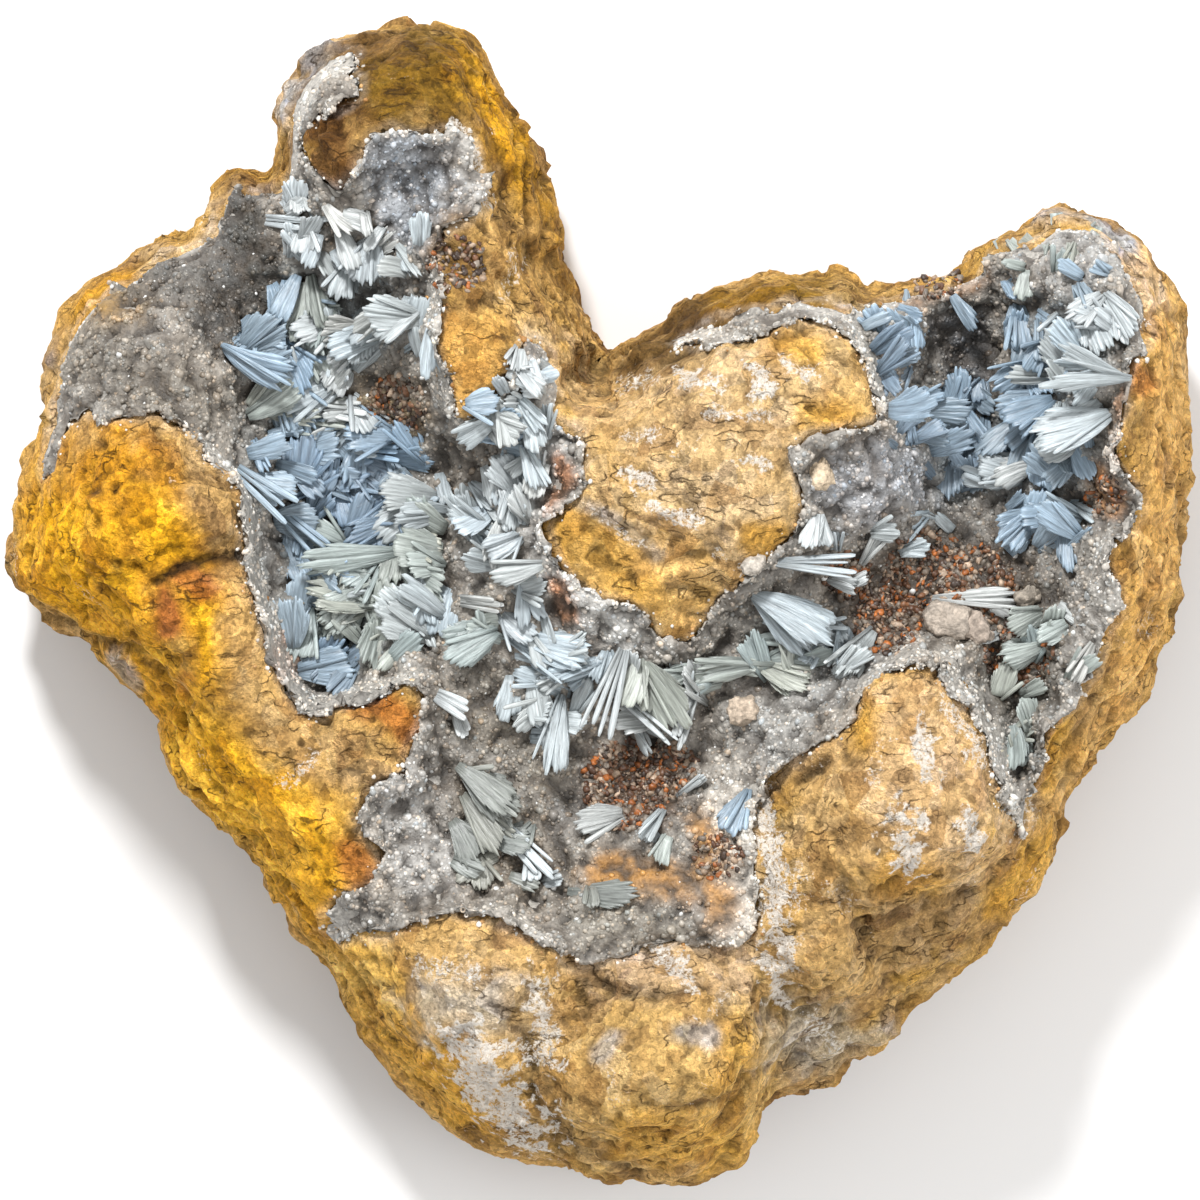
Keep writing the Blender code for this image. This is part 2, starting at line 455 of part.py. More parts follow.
class Ground:
    """Heights of the limonite and the crust, and the net of triangles that both are made on."""

    def __init__(self):
        self.edge = thinned(resampled(CRUST_EDGE, EDGE_PITCH, closed=True), LEAST_EDGE)
        self.upland = surface_through(UPLAND_SPOTS)
        self.hollow = surface_through(HOLLOW_SPOTS)
        self.places, self.faces = self.net()
        self.place_array = np.array(self.places)
        self.limonite_heights = self.limonite(self.place_array)
        self.covered = self.faces_inside(self.edge)
        self.top_heights = self.limonite_heights.copy()
        crusted = sorted({index for face in self.covered for index in face})
        thickness = self.crust_thickness(self.place_array[crusted])
        self.top_heights[crusted] += GAP + thickness
        corners = [Vector((*place, z)) for place, z in zip(self.places, self.top_heights)]
        self.top = bvhtree.BVHTree.FromPolygons(corners, self.faces)

    def faces_inside(self, loop):
        """The net's triangles whose middles lie inside a loop."""
        centres = self.place_array[np.array(self.faces)].mean(axis=1)
        return [face for face, within in zip(self.faces, inside(centres, loop)) if within]

    def rim(self, points):
        return RIM_HEIGHT + RIM_SWING * lumps(points, 34.0, 3.3)

    def depth_in_crust(self, points):
        """Distance inside the crust's edge, negative outside it."""
        distance = distance_to(points, self.edge)
        return np.where(inside(points, self.edge), distance, -distance)

    def limonite(self, points):
        points = np.asarray(points, float)
        wall = smoothstep(self.depth_in_crust(points) / WALL_WIDTH)
        height = self.upland(points) * (1 - wall) + self.hollow(points) * wall
        height = height + 2.2 * lumps(points, 15.0, 0.4) + 1.6 * lumps(points, 8.0, 7.7)
        for depth, half_width, line in GROOVES:
            height = height - depth * (1 - smoothstep(distance_to(points, line, False) / half_width))
        rim = self.rim(points)
        shoulder = 1 - np.clip(distance_to(points, OUTLINE) / SHOULDER_WIDTH, 0, 1)
        return rim + (height - rim) * np.sqrt(1 - shoulder ** 2)

    def crust_thickness(self, points):
        points = np.asarray(points, float)
        share = smoothstep(self.depth_in_crust(points) / 8.0)
        bumps = 0.9 * lumps(points, 8.0, 5.1) * share
        return CRUST_EDGE_THICKNESS + (CRUST_INNER_THICKNESS - CRUST_EDGE_THICKNESS) * share + bumps

    def standing_height(self, x, y):
        """Height of the faceted ground that a spray would stand on."""
        met = self.top.ray_cast(Vector((x, y, 200)), Vector((0, 0, -1)))[0]
        return met.z if met else RIM_HEIGHT

    def net(self):
        """One net of triangles inside the outline, with the crust's edge as a line in it."""
        outline = OUTLINE
        rng = random.Random(SEED)
        rows = []
        row_gap = NET_PITCH * math.sqrt(3) / 2
        for row in range(-18, 19):
            for column in range(-17, 18):
                wobble = [rng.uniform(-0.2, 0.2) * NET_PITCH for _ in range(2)]
                x = (column + 0.5 * (row % 2)) * NET_PITCH + wobble[0]
                rows.append((x, row * row_gap + wobble[1]))
        field = np.array(rows)
        shoulder = offset_points(outline, SHOULDER_OFFSET, SHOULDER_OFFSET * 0.85)
        shoulder = shoulder[distance_to(shoulder, self.edge) > 2.4]
        foot = offset_points(self.edge, FOOT_OFFSET, FOOT_OFFSET * 0.85)
        foot = foot[distance_to(foot, outline) > 2.4]
        field = field[inside(field, outline)]
        field = field[distance_to(field, outline) > SHOULDER_OFFSET * 1.3]
        field = field[distance_to(field, self.edge) > FOOT_OFFSET * 1.3]
        cracks = [place for _, _, line in GROOVES for place in resampled(line, CRACK_PITCH)]
        cracks = np.array(cracks)
        cracks = cracks[inside(cracks, outline) & (distance_to(cracks, outline) > 2.4)]
        cracks = cracks[distance_to(cracks, self.edge) > 2.4]
        loose = spread(np.vstack([HOLLOW_LINES, cracks, foot, shoulder, field]), 3.4)
        count = len(outline)
        edge_count = len(self.edge)
        places = list(outline) + list(self.edge) + [tuple(place) for place in loose]
        lines = [(count + i, count + (i + 1) % edge_count) for i in range(edge_count)]
        found = geometry.delaunay_2d_cdt(
            [Vector(place) for place in places], lines, [list(range(count))], 1, 1e-4
        )
        return [tuple(place) for place in found[0]], [tuple(face) for face in found[2]]


def sheet(places, heights, faces):
    """A bmesh of the net's faces, facing up, holding only the places that they use."""
    made = bmesh.new()
    kept = {}
    for face in faces:
        for index in face:
            if index not in kept:
                kept[index] = made.verts.new((*places[index], heights[index]))
        made.faces.new([kept[index] for index in face])
    bmesh.ops.recalc_face_normals(made, faces=made.faces)
    if sum(face.normal.z for face in made.faces) < 0:
        bmesh.ops.reverse_faces(made, faces=made.faces)
    return made


def base_loop(places):
    """The rest face's outline: the specimen's own, smoothed and drawn in."""
    loop = np.array(places, float)
    for _ in range(14):
        loop = loop * 0.5 + (np.roll(loop, 1, axis=0) + np.roll(loop, -1, axis=0)) * 0.25
    centre = loop.mean(axis=0)
    return centre + (loop - centre) * BASE_INSET


def build_limonite(ground, group):
    """The net as the rock's face, with flanks that tuck under to a flat rest face."""
    made = sheet(ground.places, ground.limonite_heights, ground.faces)
    rim = [edge for edge in made.edges if edge.is_boundary]
    order = ordered_loop(rim)
    foot = base_loop([(vert.co.x, vert.co.y) for vert in order])
    levels = ((0.68, 0.06), (0.32, 0.38), (0.0, 1.0))
    ring = order
    rims = [vert.co.copy() for vert in order]
    for level, (rise, share) in enumerate(levels):
        below = []
        for index, start in enumerate(rims):
            x, y = foot[index]
            spot = Vector((start.x / 9, start.y / 9, level * 2.1))
            sway = 0.0 if rise == 0 else FLANK_SWAY * noise.noise(spot)
            reach = min(max(share + sway, 0.0), 1.0)
            place = (start.x + (x - start.x) * reach, start.y + (y - start.y) * reach)
            bob = 0.0 if rise == 0 else FLANK_BOB * noise.noise(spot * 1.4)
            below.append(made.verts.new((*place, start.z * rise + bob)))
        for index in range(len(ring)):
            after = (index + 1) % len(ring)
            made.faces.new((ring[index], below[index], below[after], ring[after]))
        ring = below
    made.faces.new(ring)
    bmesh.ops.triangulate(made, faces=[face for face in made.faces if len(face.verts) > 3])
    bmesh.ops.recalc_face_normals(made, faces=made.faces)
    surface = material("ochre limonite", (0.52, 0.29, 0.07), 0.85)
    return finish(object_from("limonite_matrix", made, group), surface)


def ordered_loop(edges):
    """The corners of one closed run of edges, in order."""
    first = edges[0].verts[0]
    order, edge = [first], edges[0]
    while True:
        after = edge.other_vert(order[-1])
        if after is first:
            return order
        order.append(after)
        edge = next(item for item in after.link_edges if item.is_boundary and item is not edge)


def without_pinches(faces):
    """Drop the faces round any corner where the covered ground meets only at a point."""
    while True:
        edges = Counter(edge for face in faces for edge in edges_of(face))
        meets = Counter(corner for edge, count in edges.items() if count == 1 for corner in edge)
        pinched = {corner for corner, count in meets.items() if count > 2}
        if not pinched:
            return faces
        faces = [face for face in faces if not pinched & set(face)]


def edges_of(face):
    return [tuple(sorted((face[index - 1], face[index]))) for index in range(len(face))]


def slab(places, low, high, faces):
    """A closed solid between two sheets over the same faces of the net."""
    made = sheet(places, low, faces)
    raised = {vert: made.verts.new(vert.co) for vert in list(made.verts)}
    index_of = {}
    for index, place in enumerate(places):
        index_of.setdefault((round(place[0], 4), round(place[1], 4)), index)
    for vert, above in raised.items():
        above.co.z = high[index_of[(round(vert.co.x, 4), round(vert.co.y, 4))]]
    sides = [edge for edge in made.edges if edge.is_boundary]
    for face in list(made.faces):
        made.faces.new([raised[vert] for vert in face.verts])
    for edge in sides:
        start, end = edge.verts
        made.faces.new((start, end, raised[end], raised[start]))
    bmesh.ops.triangulate(made, faces=[face for face in made.faces if len(face.verts) > 3])
    bmesh.ops.recalc_face_normals(made, faces=made.faces)
    return made


def build_crust(ground, group):
    low = ground.limonite_heights + GAP
    made = slab(ground.places, low, ground.top_heights, ground.covered)
    surface = material("grey drusy quartz", (0.36, 0.35, 0.34), 0.5)
    return finish(object_from("quartz_crust", made, group), surface)


def build_cutter(ground, group):
    """What the sprays stand on, lifted by the gap and carried down, to trim their feet."""
    low = np.zeros(len(ground.places))
    made = slab(ground.places, low, ground.top_heights + GAP, ground.faces)
    cutter = object_from("spray_foot_cutter", made, group)
    cutter.hide_render = True
    cutter.display_type = "WIRE"
    return cutter


def spray_solid(ground, x, y, heading, length, opening, rng):
    """A fan of flat-faced blades, ridged along each one and cut off steeply at the tips."""
    blades = max(2, min(3, round(math.radians(opening) * length / 4.4)))
    made = bmesh.new()
    lean = math.radians(rng.uniform(10, 24))
    crest = 3.0 + 0.16 * length
    turn = math.radians(heading)
    along = [length * share for share in (0.0, 0.35, 0.7, 1.0)]
    root_height = crest * 0.5 + max(
        ground.standing_height(x + run * math.cos(turn), y + run * math.sin(turn))
        - run * math.sin(lean) * 1.2
        for run in along
    )
    wing = 0.5 * max(2.6, length * 0.2)

    def place(radius, angle, height):
        return (
            x + radius * math.cos(turn + angle),
            y + radius * math.sin(turn + angle),
            height,
        )

    half = max(math.radians(opening) / 2, 1.5 / length)
    rim = [place(wing, math.pi / 2, root_height), place(wing, -math.pi / 2, root_height)]
    for blade in range(blades):
        low_angle = -half + 2 * half * blade / blades
        high_angle = -half + 2 * half * (blade + 1) / blades
        reach = length * rng.uniform(0.86, 1.0)
        rise = root_height + reach * math.sin(lean)
        if blade == 0:
            rim.append(place(length * 0.8, low_angle * 1.15, rise - crest * 0.55))
        rim.append(place(reach, (low_angle + high_angle) / 2, rise))
        rim.append(place(length * 0.8, high_angle * 1.15 if blade == blades - 1 else high_angle,
                         rise - crest * 0.45))
    top = [made.verts.new(corner) for corner in rim]
    floor = min(ground.standing_height(px, py) for px, py, _ in rim) - 4.0
    bottom = [made.verts.new((px, py, floor)) for px, py, _ in rim]
    hub = made.verts.new(place(0, 0, root_height + crest * 0.2))
    for index in range(len(top)):
        after = (index + 1) % len(top)
        made.faces.new((hub, top[index], top[after]))
        made.faces.new((top[index], bottom[index], bottom[after], top[after]))
    made.faces.new(bottom)
    bmesh.ops.triangulate(made, faces=[face for face in made.faces if len(face.verts) > 3])
    bmesh.ops.recalc_face_normals(made, faces=made.faces)
    return made


def apply_boolean(target, operation, other=None, others=None):
    """Apply a Boolean with one object, or with every object of a collection at once."""
    modifier = target.modifiers.new(operation.lower(), "BOOLEAN")
    modifier.operation = operation
    modifier.solver = "MANIFOLD"
    if others:
        modifier.operand_type = "COLLECTION"
        modifier.collection = others
    else:
        modifier.object = other
    bpy.context.view_layer.objects.active = target
    bpy.ops.object.modifier_apply(modifier=modifier.name)


def largest_body(target):
    """Keep the largest connected body, and drop the crumbs that the trimming left."""
    made = bmesh.new()
    made.from_mesh(target.data)
    bmesh.ops.remove_doubles(made, verts=made.verts, dist=0.002)
    bmesh.ops.dissolve_degenerate(made, edges=made.edges, dist=0.002)
    bmesh.ops.triangulate(made, faces=made.faces)
    left, bodies = set(made.verts), []
    while left:
        body, front = set(), [next(iter(left))]
        while front:
            vert = front.pop()
            if vert in body:
                continue
            body.add(vert)
            front.extend(edge.other_vert(vert) for edge in vert.link_edges)
        left -= body
        bodies.append(body)
    bodies.sort(key=len)
    for body in bodies[:-1]:
        bmesh.ops.delete(made, geom=list(body), context="VERTS")
    made.to_mesh(target.data)
    made.free()
    return [len(body) for body in bodies]


def mat_solid(ground, loop):
    """The skin of barite on the crust inside a loop, reaching below it for the cutter to trim."""
    on_crust = set(ground.covered)
    covered = [face for face in ground.faces_inside(loop) if face in on_crust]
    top = ground.top_heights
    return slab(ground.places, top - 1.0, top + MAT_THICKNESS, without_pinches(covered))


def build_barite(ground, cutter, group):
    """Join each group's sprays with the skin they stand on, and trim their feet to the crust."""
    rng = random.Random(SEED)
    for name, sprays in SPRAYS.items():
        shapes = [spray_solid(ground, *spray, rng) for spray in sprays]
        if name in MATS:
            shapes.insert(0, mat_solid(ground, MATS[name]))
        mass = object_from(name, shapes[0], group)
        if len(shapes) > 1:
            rest = collection_named(f"{name}_sprays", hidden=True)
            for number, shape in enumerate(shapes[1:]):
                object_from(f"{name}_spray_{number}", shape, rest)
            apply_boolean(mass, "UNION", others=rest)
            for spray in list(rest.objects):
                bpy.data.objects.remove(spray, do_unlink=True)
            bpy.data.collections.remove(rest)
        apply_boolean(mass, "DIFFERENCE", cutter)
        bodies = largest_body(mass)
        print(name, "bodies", bodies, "triangles", len(mass.data.polygons))
        finish(mass, material(name.replace("_", " "), (0.46, 0.56, 0.62), 0.35))
    bpy.data.objects.remove(cutter, do_unlink=True)


def main():
    clear_scene()
    specimen = collection_named("barite_specimen")
    cutters = collection_named("cutters", hidden=True)
    ground = Ground()
    limonite = build_limonite(ground, specimen)
    crust = build_crust(ground, specimen)
    print("limonite", len(limonite.data.polygons), "crust", len(crust.data.polygons))
    cutter = build_cutter(ground, cutters)
    build_barite(ground, cutter, specimen)


if __name__ == "__main__":
    main()
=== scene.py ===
"""A heart-shaped piece of ochre limonite, its hollows lined with grey drusy quartz and pale blue barite.

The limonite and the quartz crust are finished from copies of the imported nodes, and each group of barite
blades takes the place of the node that it grew as. Lengths in the tables are millimetres, in the frame of
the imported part: x to the right of the photograph, y up it, z out of the face that carries the crystals.
"""

import math

import bpy
import numpy as np
from bpy.props import FloatProperty, FloatVectorProperty, IntProperty, PointerProperty
from mathutils import Matrix, Vector, noise
from mathutils.bvhtree import BVHTree


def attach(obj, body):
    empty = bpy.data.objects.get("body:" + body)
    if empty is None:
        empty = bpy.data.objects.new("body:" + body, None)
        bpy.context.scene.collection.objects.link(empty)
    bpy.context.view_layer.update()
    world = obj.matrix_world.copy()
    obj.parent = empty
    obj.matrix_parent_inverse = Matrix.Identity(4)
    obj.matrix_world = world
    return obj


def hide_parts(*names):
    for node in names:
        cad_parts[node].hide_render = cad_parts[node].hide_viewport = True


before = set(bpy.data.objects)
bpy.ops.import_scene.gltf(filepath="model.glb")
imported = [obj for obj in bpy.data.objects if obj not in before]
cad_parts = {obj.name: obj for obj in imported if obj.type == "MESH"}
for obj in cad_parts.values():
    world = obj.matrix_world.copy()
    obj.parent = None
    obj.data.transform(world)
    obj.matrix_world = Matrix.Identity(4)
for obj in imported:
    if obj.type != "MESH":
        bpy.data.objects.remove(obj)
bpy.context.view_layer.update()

bl_info = {
    "name": "Barite specimen",
    "version": (1, 0, 0),
    "blender": (4, 5, 0),
    "location": "View3D > Sidebar > Barite",
    "description": "Finishes a limonite vug with drusy quartz and sprays of bladed barite",
    "category": "Object",
}

MM = 0.001
REST_BAND = 0.4 * MM  # the flat back keeps its large triangles up to this height
SUNK = 0.9 * MM  # how far the limonite gives way under the crust
FAN_FROM = 16  # degrees: a spray that opens less is a bundle of single blades
STEEPEST = math.radians(38)  # how far a spray stands up at most
CASTING_HEIGHT = 0.3  # metres: above the whole piece
SENSOR = 36.0  # millimetres, as Blender counts it
CAMERA_DISTANCE = 5.0
PICTURE_WIDTH = 0.24
PICTURE_HEIGHT_UP = 0.05  # how far above the floor the picture is that wide

# The barite sprays of each node: x, y of the root, heading of the middle blade in degrees from +x, length
# of the blades, how far the fan opens in degrees, and the tint.
SPRAYS = {
    "barite_tower": [
        (-60, 80, 100, 6, 110, "white"), (-58, 76, 265, 7, 90, "white"), (-66, 77, 355, 11, 6, "white"),
        (-45, 73, 262, 10, 80, "white"), (-40, 72, 312, 11, 28, "pale"), (-41, 61, 352, 9, 8, "pale"),
        (-39, 58, 15, 8, 8, "pale"), (-56, 71, 300, 7, 60, "pale"), (-50, 68, 250, 8, 60, "pale"),
    ],
    "barite_left_hollow": [
        (-60, 66, 245, 11, 40, "blue"), (-57, 66, 282, 12, 55, "green"), (-47, 55, 190, 9, 60, "white"),
        (-35, 60, 215, 13, 45, "pale"), (-33, 57, 262, 13, 25, "pale"), (-75, 52, 330, 17, 25, "blue"),
        (-67, 53, 302, 12, 25, "blue"), (-56, 41, 60, 11, 60, "pale"), (-70, 38, 20, 13, 50, "green"),
        (-59, 40, 350, 14, 15, "white"), (-58, 30, 40, 10, 50, "pale"), (-52, 28, 45, 15, 22, "blue"),
        (-47, 31, 355, 10, 10, "blue"), (-61, 21, 40, 13, 28, "deep"), (-56, 28, 340, 10, 30, "deep"),
        (-50, 28, 310, 13, 32, "deep"), (-42, 30, 290, 9, 20, "blue"), (-58, 16, 50, 9, 40, "deep"),
        (-50, 13, 60, 11, 45, "deep"), (-39, 23, 228, 13, 32, "deep"), (-72, 27, 322, 15, 16, "blue"),
        (-64, 19, 320, 15, 16, "blue"), (-69, 33, 290, 9, 20, "blue"), (-38, 11, 190, 23, 28, "green"),
        (-40, 14, 345, 13, 50, "green"), (-40, 16, 30, 11, 40, "pale"), (-42, 2, 198, 17, 50, "green"),
        (-50, -8, 248, 11, 60, "deep"), (-57, -5, 250, 6, 90, "blue"), (-40, -4, 216, 11, 42, "green"),
        (-34, 8, 265, 13, 40, "pale"), (-36, -1, 315, 11, 22, "pale"),
    ],
    "barite_centre_top": [
        (-16, 33, 165, 10, 60, "blue"), (-20, 30, 280, 12, 45, "white"), (-28, 20, 310, 14, 50, "pale"),
        (-17, 24, 262, 11, 50, "white"), (-22, 38, 330, 9, 60, "pale"),
    ],
    "barite_ring": [(-16, 47, 312, 8, 34, "white"), (-12, 45, 20, 5, 50, "white")],
    "barite_centre": [
        (-11, 8, 200, 11, 40, "pale"), (-27, 1, 352, 11, 6, "white"), (-15, 6, 270, 12, 26, "pale"),
        (-20, -5, 208, 13, 55, "green"), (-18, -6, 340, 18, 42, "pale"), (2, -11, 200, 13, 40, "pale"),
        (5, -9, 250, 20, 12, "white"), (-7, -18, 260, 18, 28, "pale"), (-10, -19, 215, 10, 42, "pale"),
        (9, -12, 305, 16, 70, "green"), (3.5, -17, 320, 17, 6, "white"), (19.5, -17, 252, 13, 8, "white"),
        (6, -22, 310, 10, 20, "pale"), (36, -12, 178, 18, 22, "green"), (33, -12, 328, 12, 66, "green"),
        (31, 2, 334, 20, 34, "pale"), (55, -5, 236, 15, 46, "pale"),
    ],
    "barite_tongue_foot": [
        (36, 8, 356, 18, 14, "white"), (46, 5, 340, 7, 30, "white"), (50, 4, 20, 5, 40, "white"),
    ],
    "barite_wedge": [(70, 16, 172, 21, 32, "pale"), (44, 18, 260, 8, 50, "white")],
    "barite_right_hollow": [
        (70, 31, 268, 12, 86, "deep"), (77, 31, 272, 9, 70, "deep"), (76, 35, 196, 11, 56, "blue"),
        (72, 36, 84, 13, 26, "blue"), (77, 45, 260, 5, 80, "deep"), (73, 40, 300, 12, 16, "blue"),
        (84, 60, 280, 11, 60, "blue"), (88, 57, 278, 10, 30, "blue"), (92, 56, 310, 11, 42, "pale"),
        (90, 57, 14, 10, 34, "pale"), (101, 62, 308, 11, 50, "white"), (88, 49, 216, 12, 52, "blue"),
        (106, 45, 176, 19, 20, "pale"), (91, 41, 200, 12, 52, "blue"), (102, 38, 206, 17, 52, "pale"),
        (88, 34, 308, 14, 80, "blue"), (95, 32, 300, 9, 50, "blue"), (88, 28, 190, 10, 50, "white"),
    ],
    "barite_tongue_side": [
        (62, 54, 206, 9, 60, "deep"), (62, 56, 172, 9, 40, "blue"), (62, 63, 278, 13, 18, "blue"),
        (56, 49, 284, 11, 42, "deep"), (66, 40, 190, 9, 50, "blue"), (65, 43, 320, 8, 20, "blue"),
        (62, 38, 268, 9, 50, "deep"),
    ],
    "barite_hollow_top": [(71, 62, 300, 9, 36, "blue")],
    "barite_right_lower": [
        (84, 17, 354, 19, 22, "blue"), (87, 18, 226, 10, 60, "blue"), (94, 18, 274, 13, 50, "blue"),
        (95, 20, 330, 8, 40, "pale"),
    ],
    "barite_gravel": [(67, 1.5, 358, 19, 20, "white")],
    "barite_channel_top": [
        (88, -9, 46, 13, 50, "green"), (92, 0, 324, 10, 50, "white"), (89, -8, 206, 10, 50, "green"),
        (80, -6, 200, 5, 50, "white"),
    ],
    "barite_channel": [(83, -24, 280, 10, 62, "green")],
    "barite_dome": [
        (82.5, 73, 316, 8, 50, "green"), (86, 67, 262, 7, 60, "green"), (82, 65, 300, 6, 60, "blue"),
        (96, 64, 300, 7, 60, "blue"), (100, 76, 250, 6, 60, "green"),
    ],
    "barite_lower": [
        (-28, -32, 325, 16, 36, "dull"), (-27, -38, 305, 15, 42, "dull"), (-20, -43, 315, 17, 10, "white"),
        (-20, -50, 200, 11, 50, "dull"), (-6, -57, 350, 17, 34, "dull"),
        (-26, -35, 332, 14, 40, "dull"), (-22, -46, 350, 10, 60, "dull"), (-29, -43, 300, 11, 50, "dull"),
        (-24, -50, 290, 9, 60, "dull"),
    ],
    "barite_lower_fan": [(5, -42, 192, 11, 58, "white")],
    "barite_lower_right_fan": [(13, -41, 232, 10, 42, "pale"), (14, -46, 250, 7, 50, "green")],
    "barite_foot": [
        (30, -37, 246, 11, 40, "blue"), (16, -38, 40, 9, 20, "white"), (-32, -18, 330, 8, 10, "white"),
        (-28, -22, 290, 6, 10, "white"),
    ],
}

# Where small sprays fill the gaps between the ones above: the area's corners, how far apart they stand, and
# how long their blades get.
MATS = {
    "barite_dome": ([
        (79, 74), (86, 80), (94, 80), (103, 74), (106, 66), (98, 62), (90, 66), (82, 68),
    ], 4.6, 6.5),
    "barite_channel": ([(80, -18), (88, -18), (88, -26), (84, -32), (81, -26)], 4.2, 9),
    "barite_channel_top": ([(84, -2), (98, 0), (100, -12), (92, -16), (86, -10)], 5.5, 10),
    "barite_wedge": ([(46, 12), (70, 20), (72, 14), (52, 8)], 5.5, 9),
    "barite_ring": ([(-20, 50), (-14, 52), (-8, 46), (-12, 38), (-18, 42)], 3.6, 7),
    "barite_tower": ([
        (-65, 82), (-57, 84), (-50, 80), (-40, 78), (-33, 70), (-38, 65), (-46, 66), (-54, 67),
        (-62, 69),
    ], 3.2, 9),
    "barite_left_hollow": ([
        (-72, 54), (-66, 64), (-59, 66), (-52, 61), (-44, 60), (-37, 62), (-32, 57), (-35, 48),
        (-45, 50), (-50, 44), (-46, 37), (-38, 33), (-31, 28), (-29, 20), (-28, 12), (-28, 4), (-30, -4),
        (-34, -10), (-40, -11), (-46, -14), (-54, -18), (-60, -14), (-62, -6), (-60, 2), (-61, 10),
        (-66, 16), (-68, 22), (-72, 28), (-67, 35), (-72, 43),
    ], 2.9, 12.5),
    "barite_centre_top": ([
        (-27, 40), (-16, 43), (-10, 34), (-11, 24), (-14, 12), (-20, 8), (-26, 11), (-27, 20), (-24, 28),
    ], 2.9, 11),
    "barite_centre": ([
        (-21, 5), (-11, 6), (-10, -3), (1, -9), (10, -10), (22, -12), (30, -8), (34, 2), (44, -1),
        (54, -6), (49, -17), (38, -18), (26, -16), (16, -24), (6, -18), (-2, -18), (-6, -28), (-14, -26),
        (-19, -18), (-18, -10), (-27, -11), (-27, -4), (-20, -3),
    ], 3.6, 11),
    "barite_tongue_side": ([
        (53, 58), (60, 61), (65, 58), (64, 50), (60, 44), (66, 41), (66, 34), (59, 31), (58, 38),
        (56, 46), (52, 54),
    ], 3.0, 10),
    "barite_right_hollow": ([
        (84, 60), (92, 58), (100, 62), (105, 60), (106, 53), (101, 47), (103, 41), (99, 33), (98, 26),
        (90, 23), (76, 21), (65, 24), (64, 34), (66, 42), (71, 47), (76, 44), (79, 37), (84, 40), (82, 50),
    ], 3.1, 11),
    "barite_right_lower": ([
        (82, 19), (97, 18), (99, 10), (95, 7), (89, 10), (80, 10),
    ], 3.4, 11),
    "barite_lower": ([
        (-28, -31), (-20, -33), (-13, -43), (-9, -52), (3, -56), (2, -61), (-10, -59), (-17, -55),
        (-27, -56), (-30, -49), (-25, -44),
    ], 5.8, 8),
}

TINTS = {
    "pale": "#ADB6B9",
    "blue": "#91A4B3",
    "deep": "#8092A2",
    "green": "#A0A8A3",
    "white": "#B8BEBF",
    "dull": "#868A85",
}

OCHRE = "#E0A228"
YELLOW = "#E6A71E"
GOLD = "#CF9A3A"
TAN = "#C6A066"
SAND = "#CFAE7C"
DUN = "#A98A5C"
BROWN = "#86653A"
RUST = "#A8632A"
MAROON = "#9A5230"
GREY = "#A6A39B"
# Painted shade for cracks, pits and the undersides of ledges.
CREVICE_SHADE = "#4E3A24"
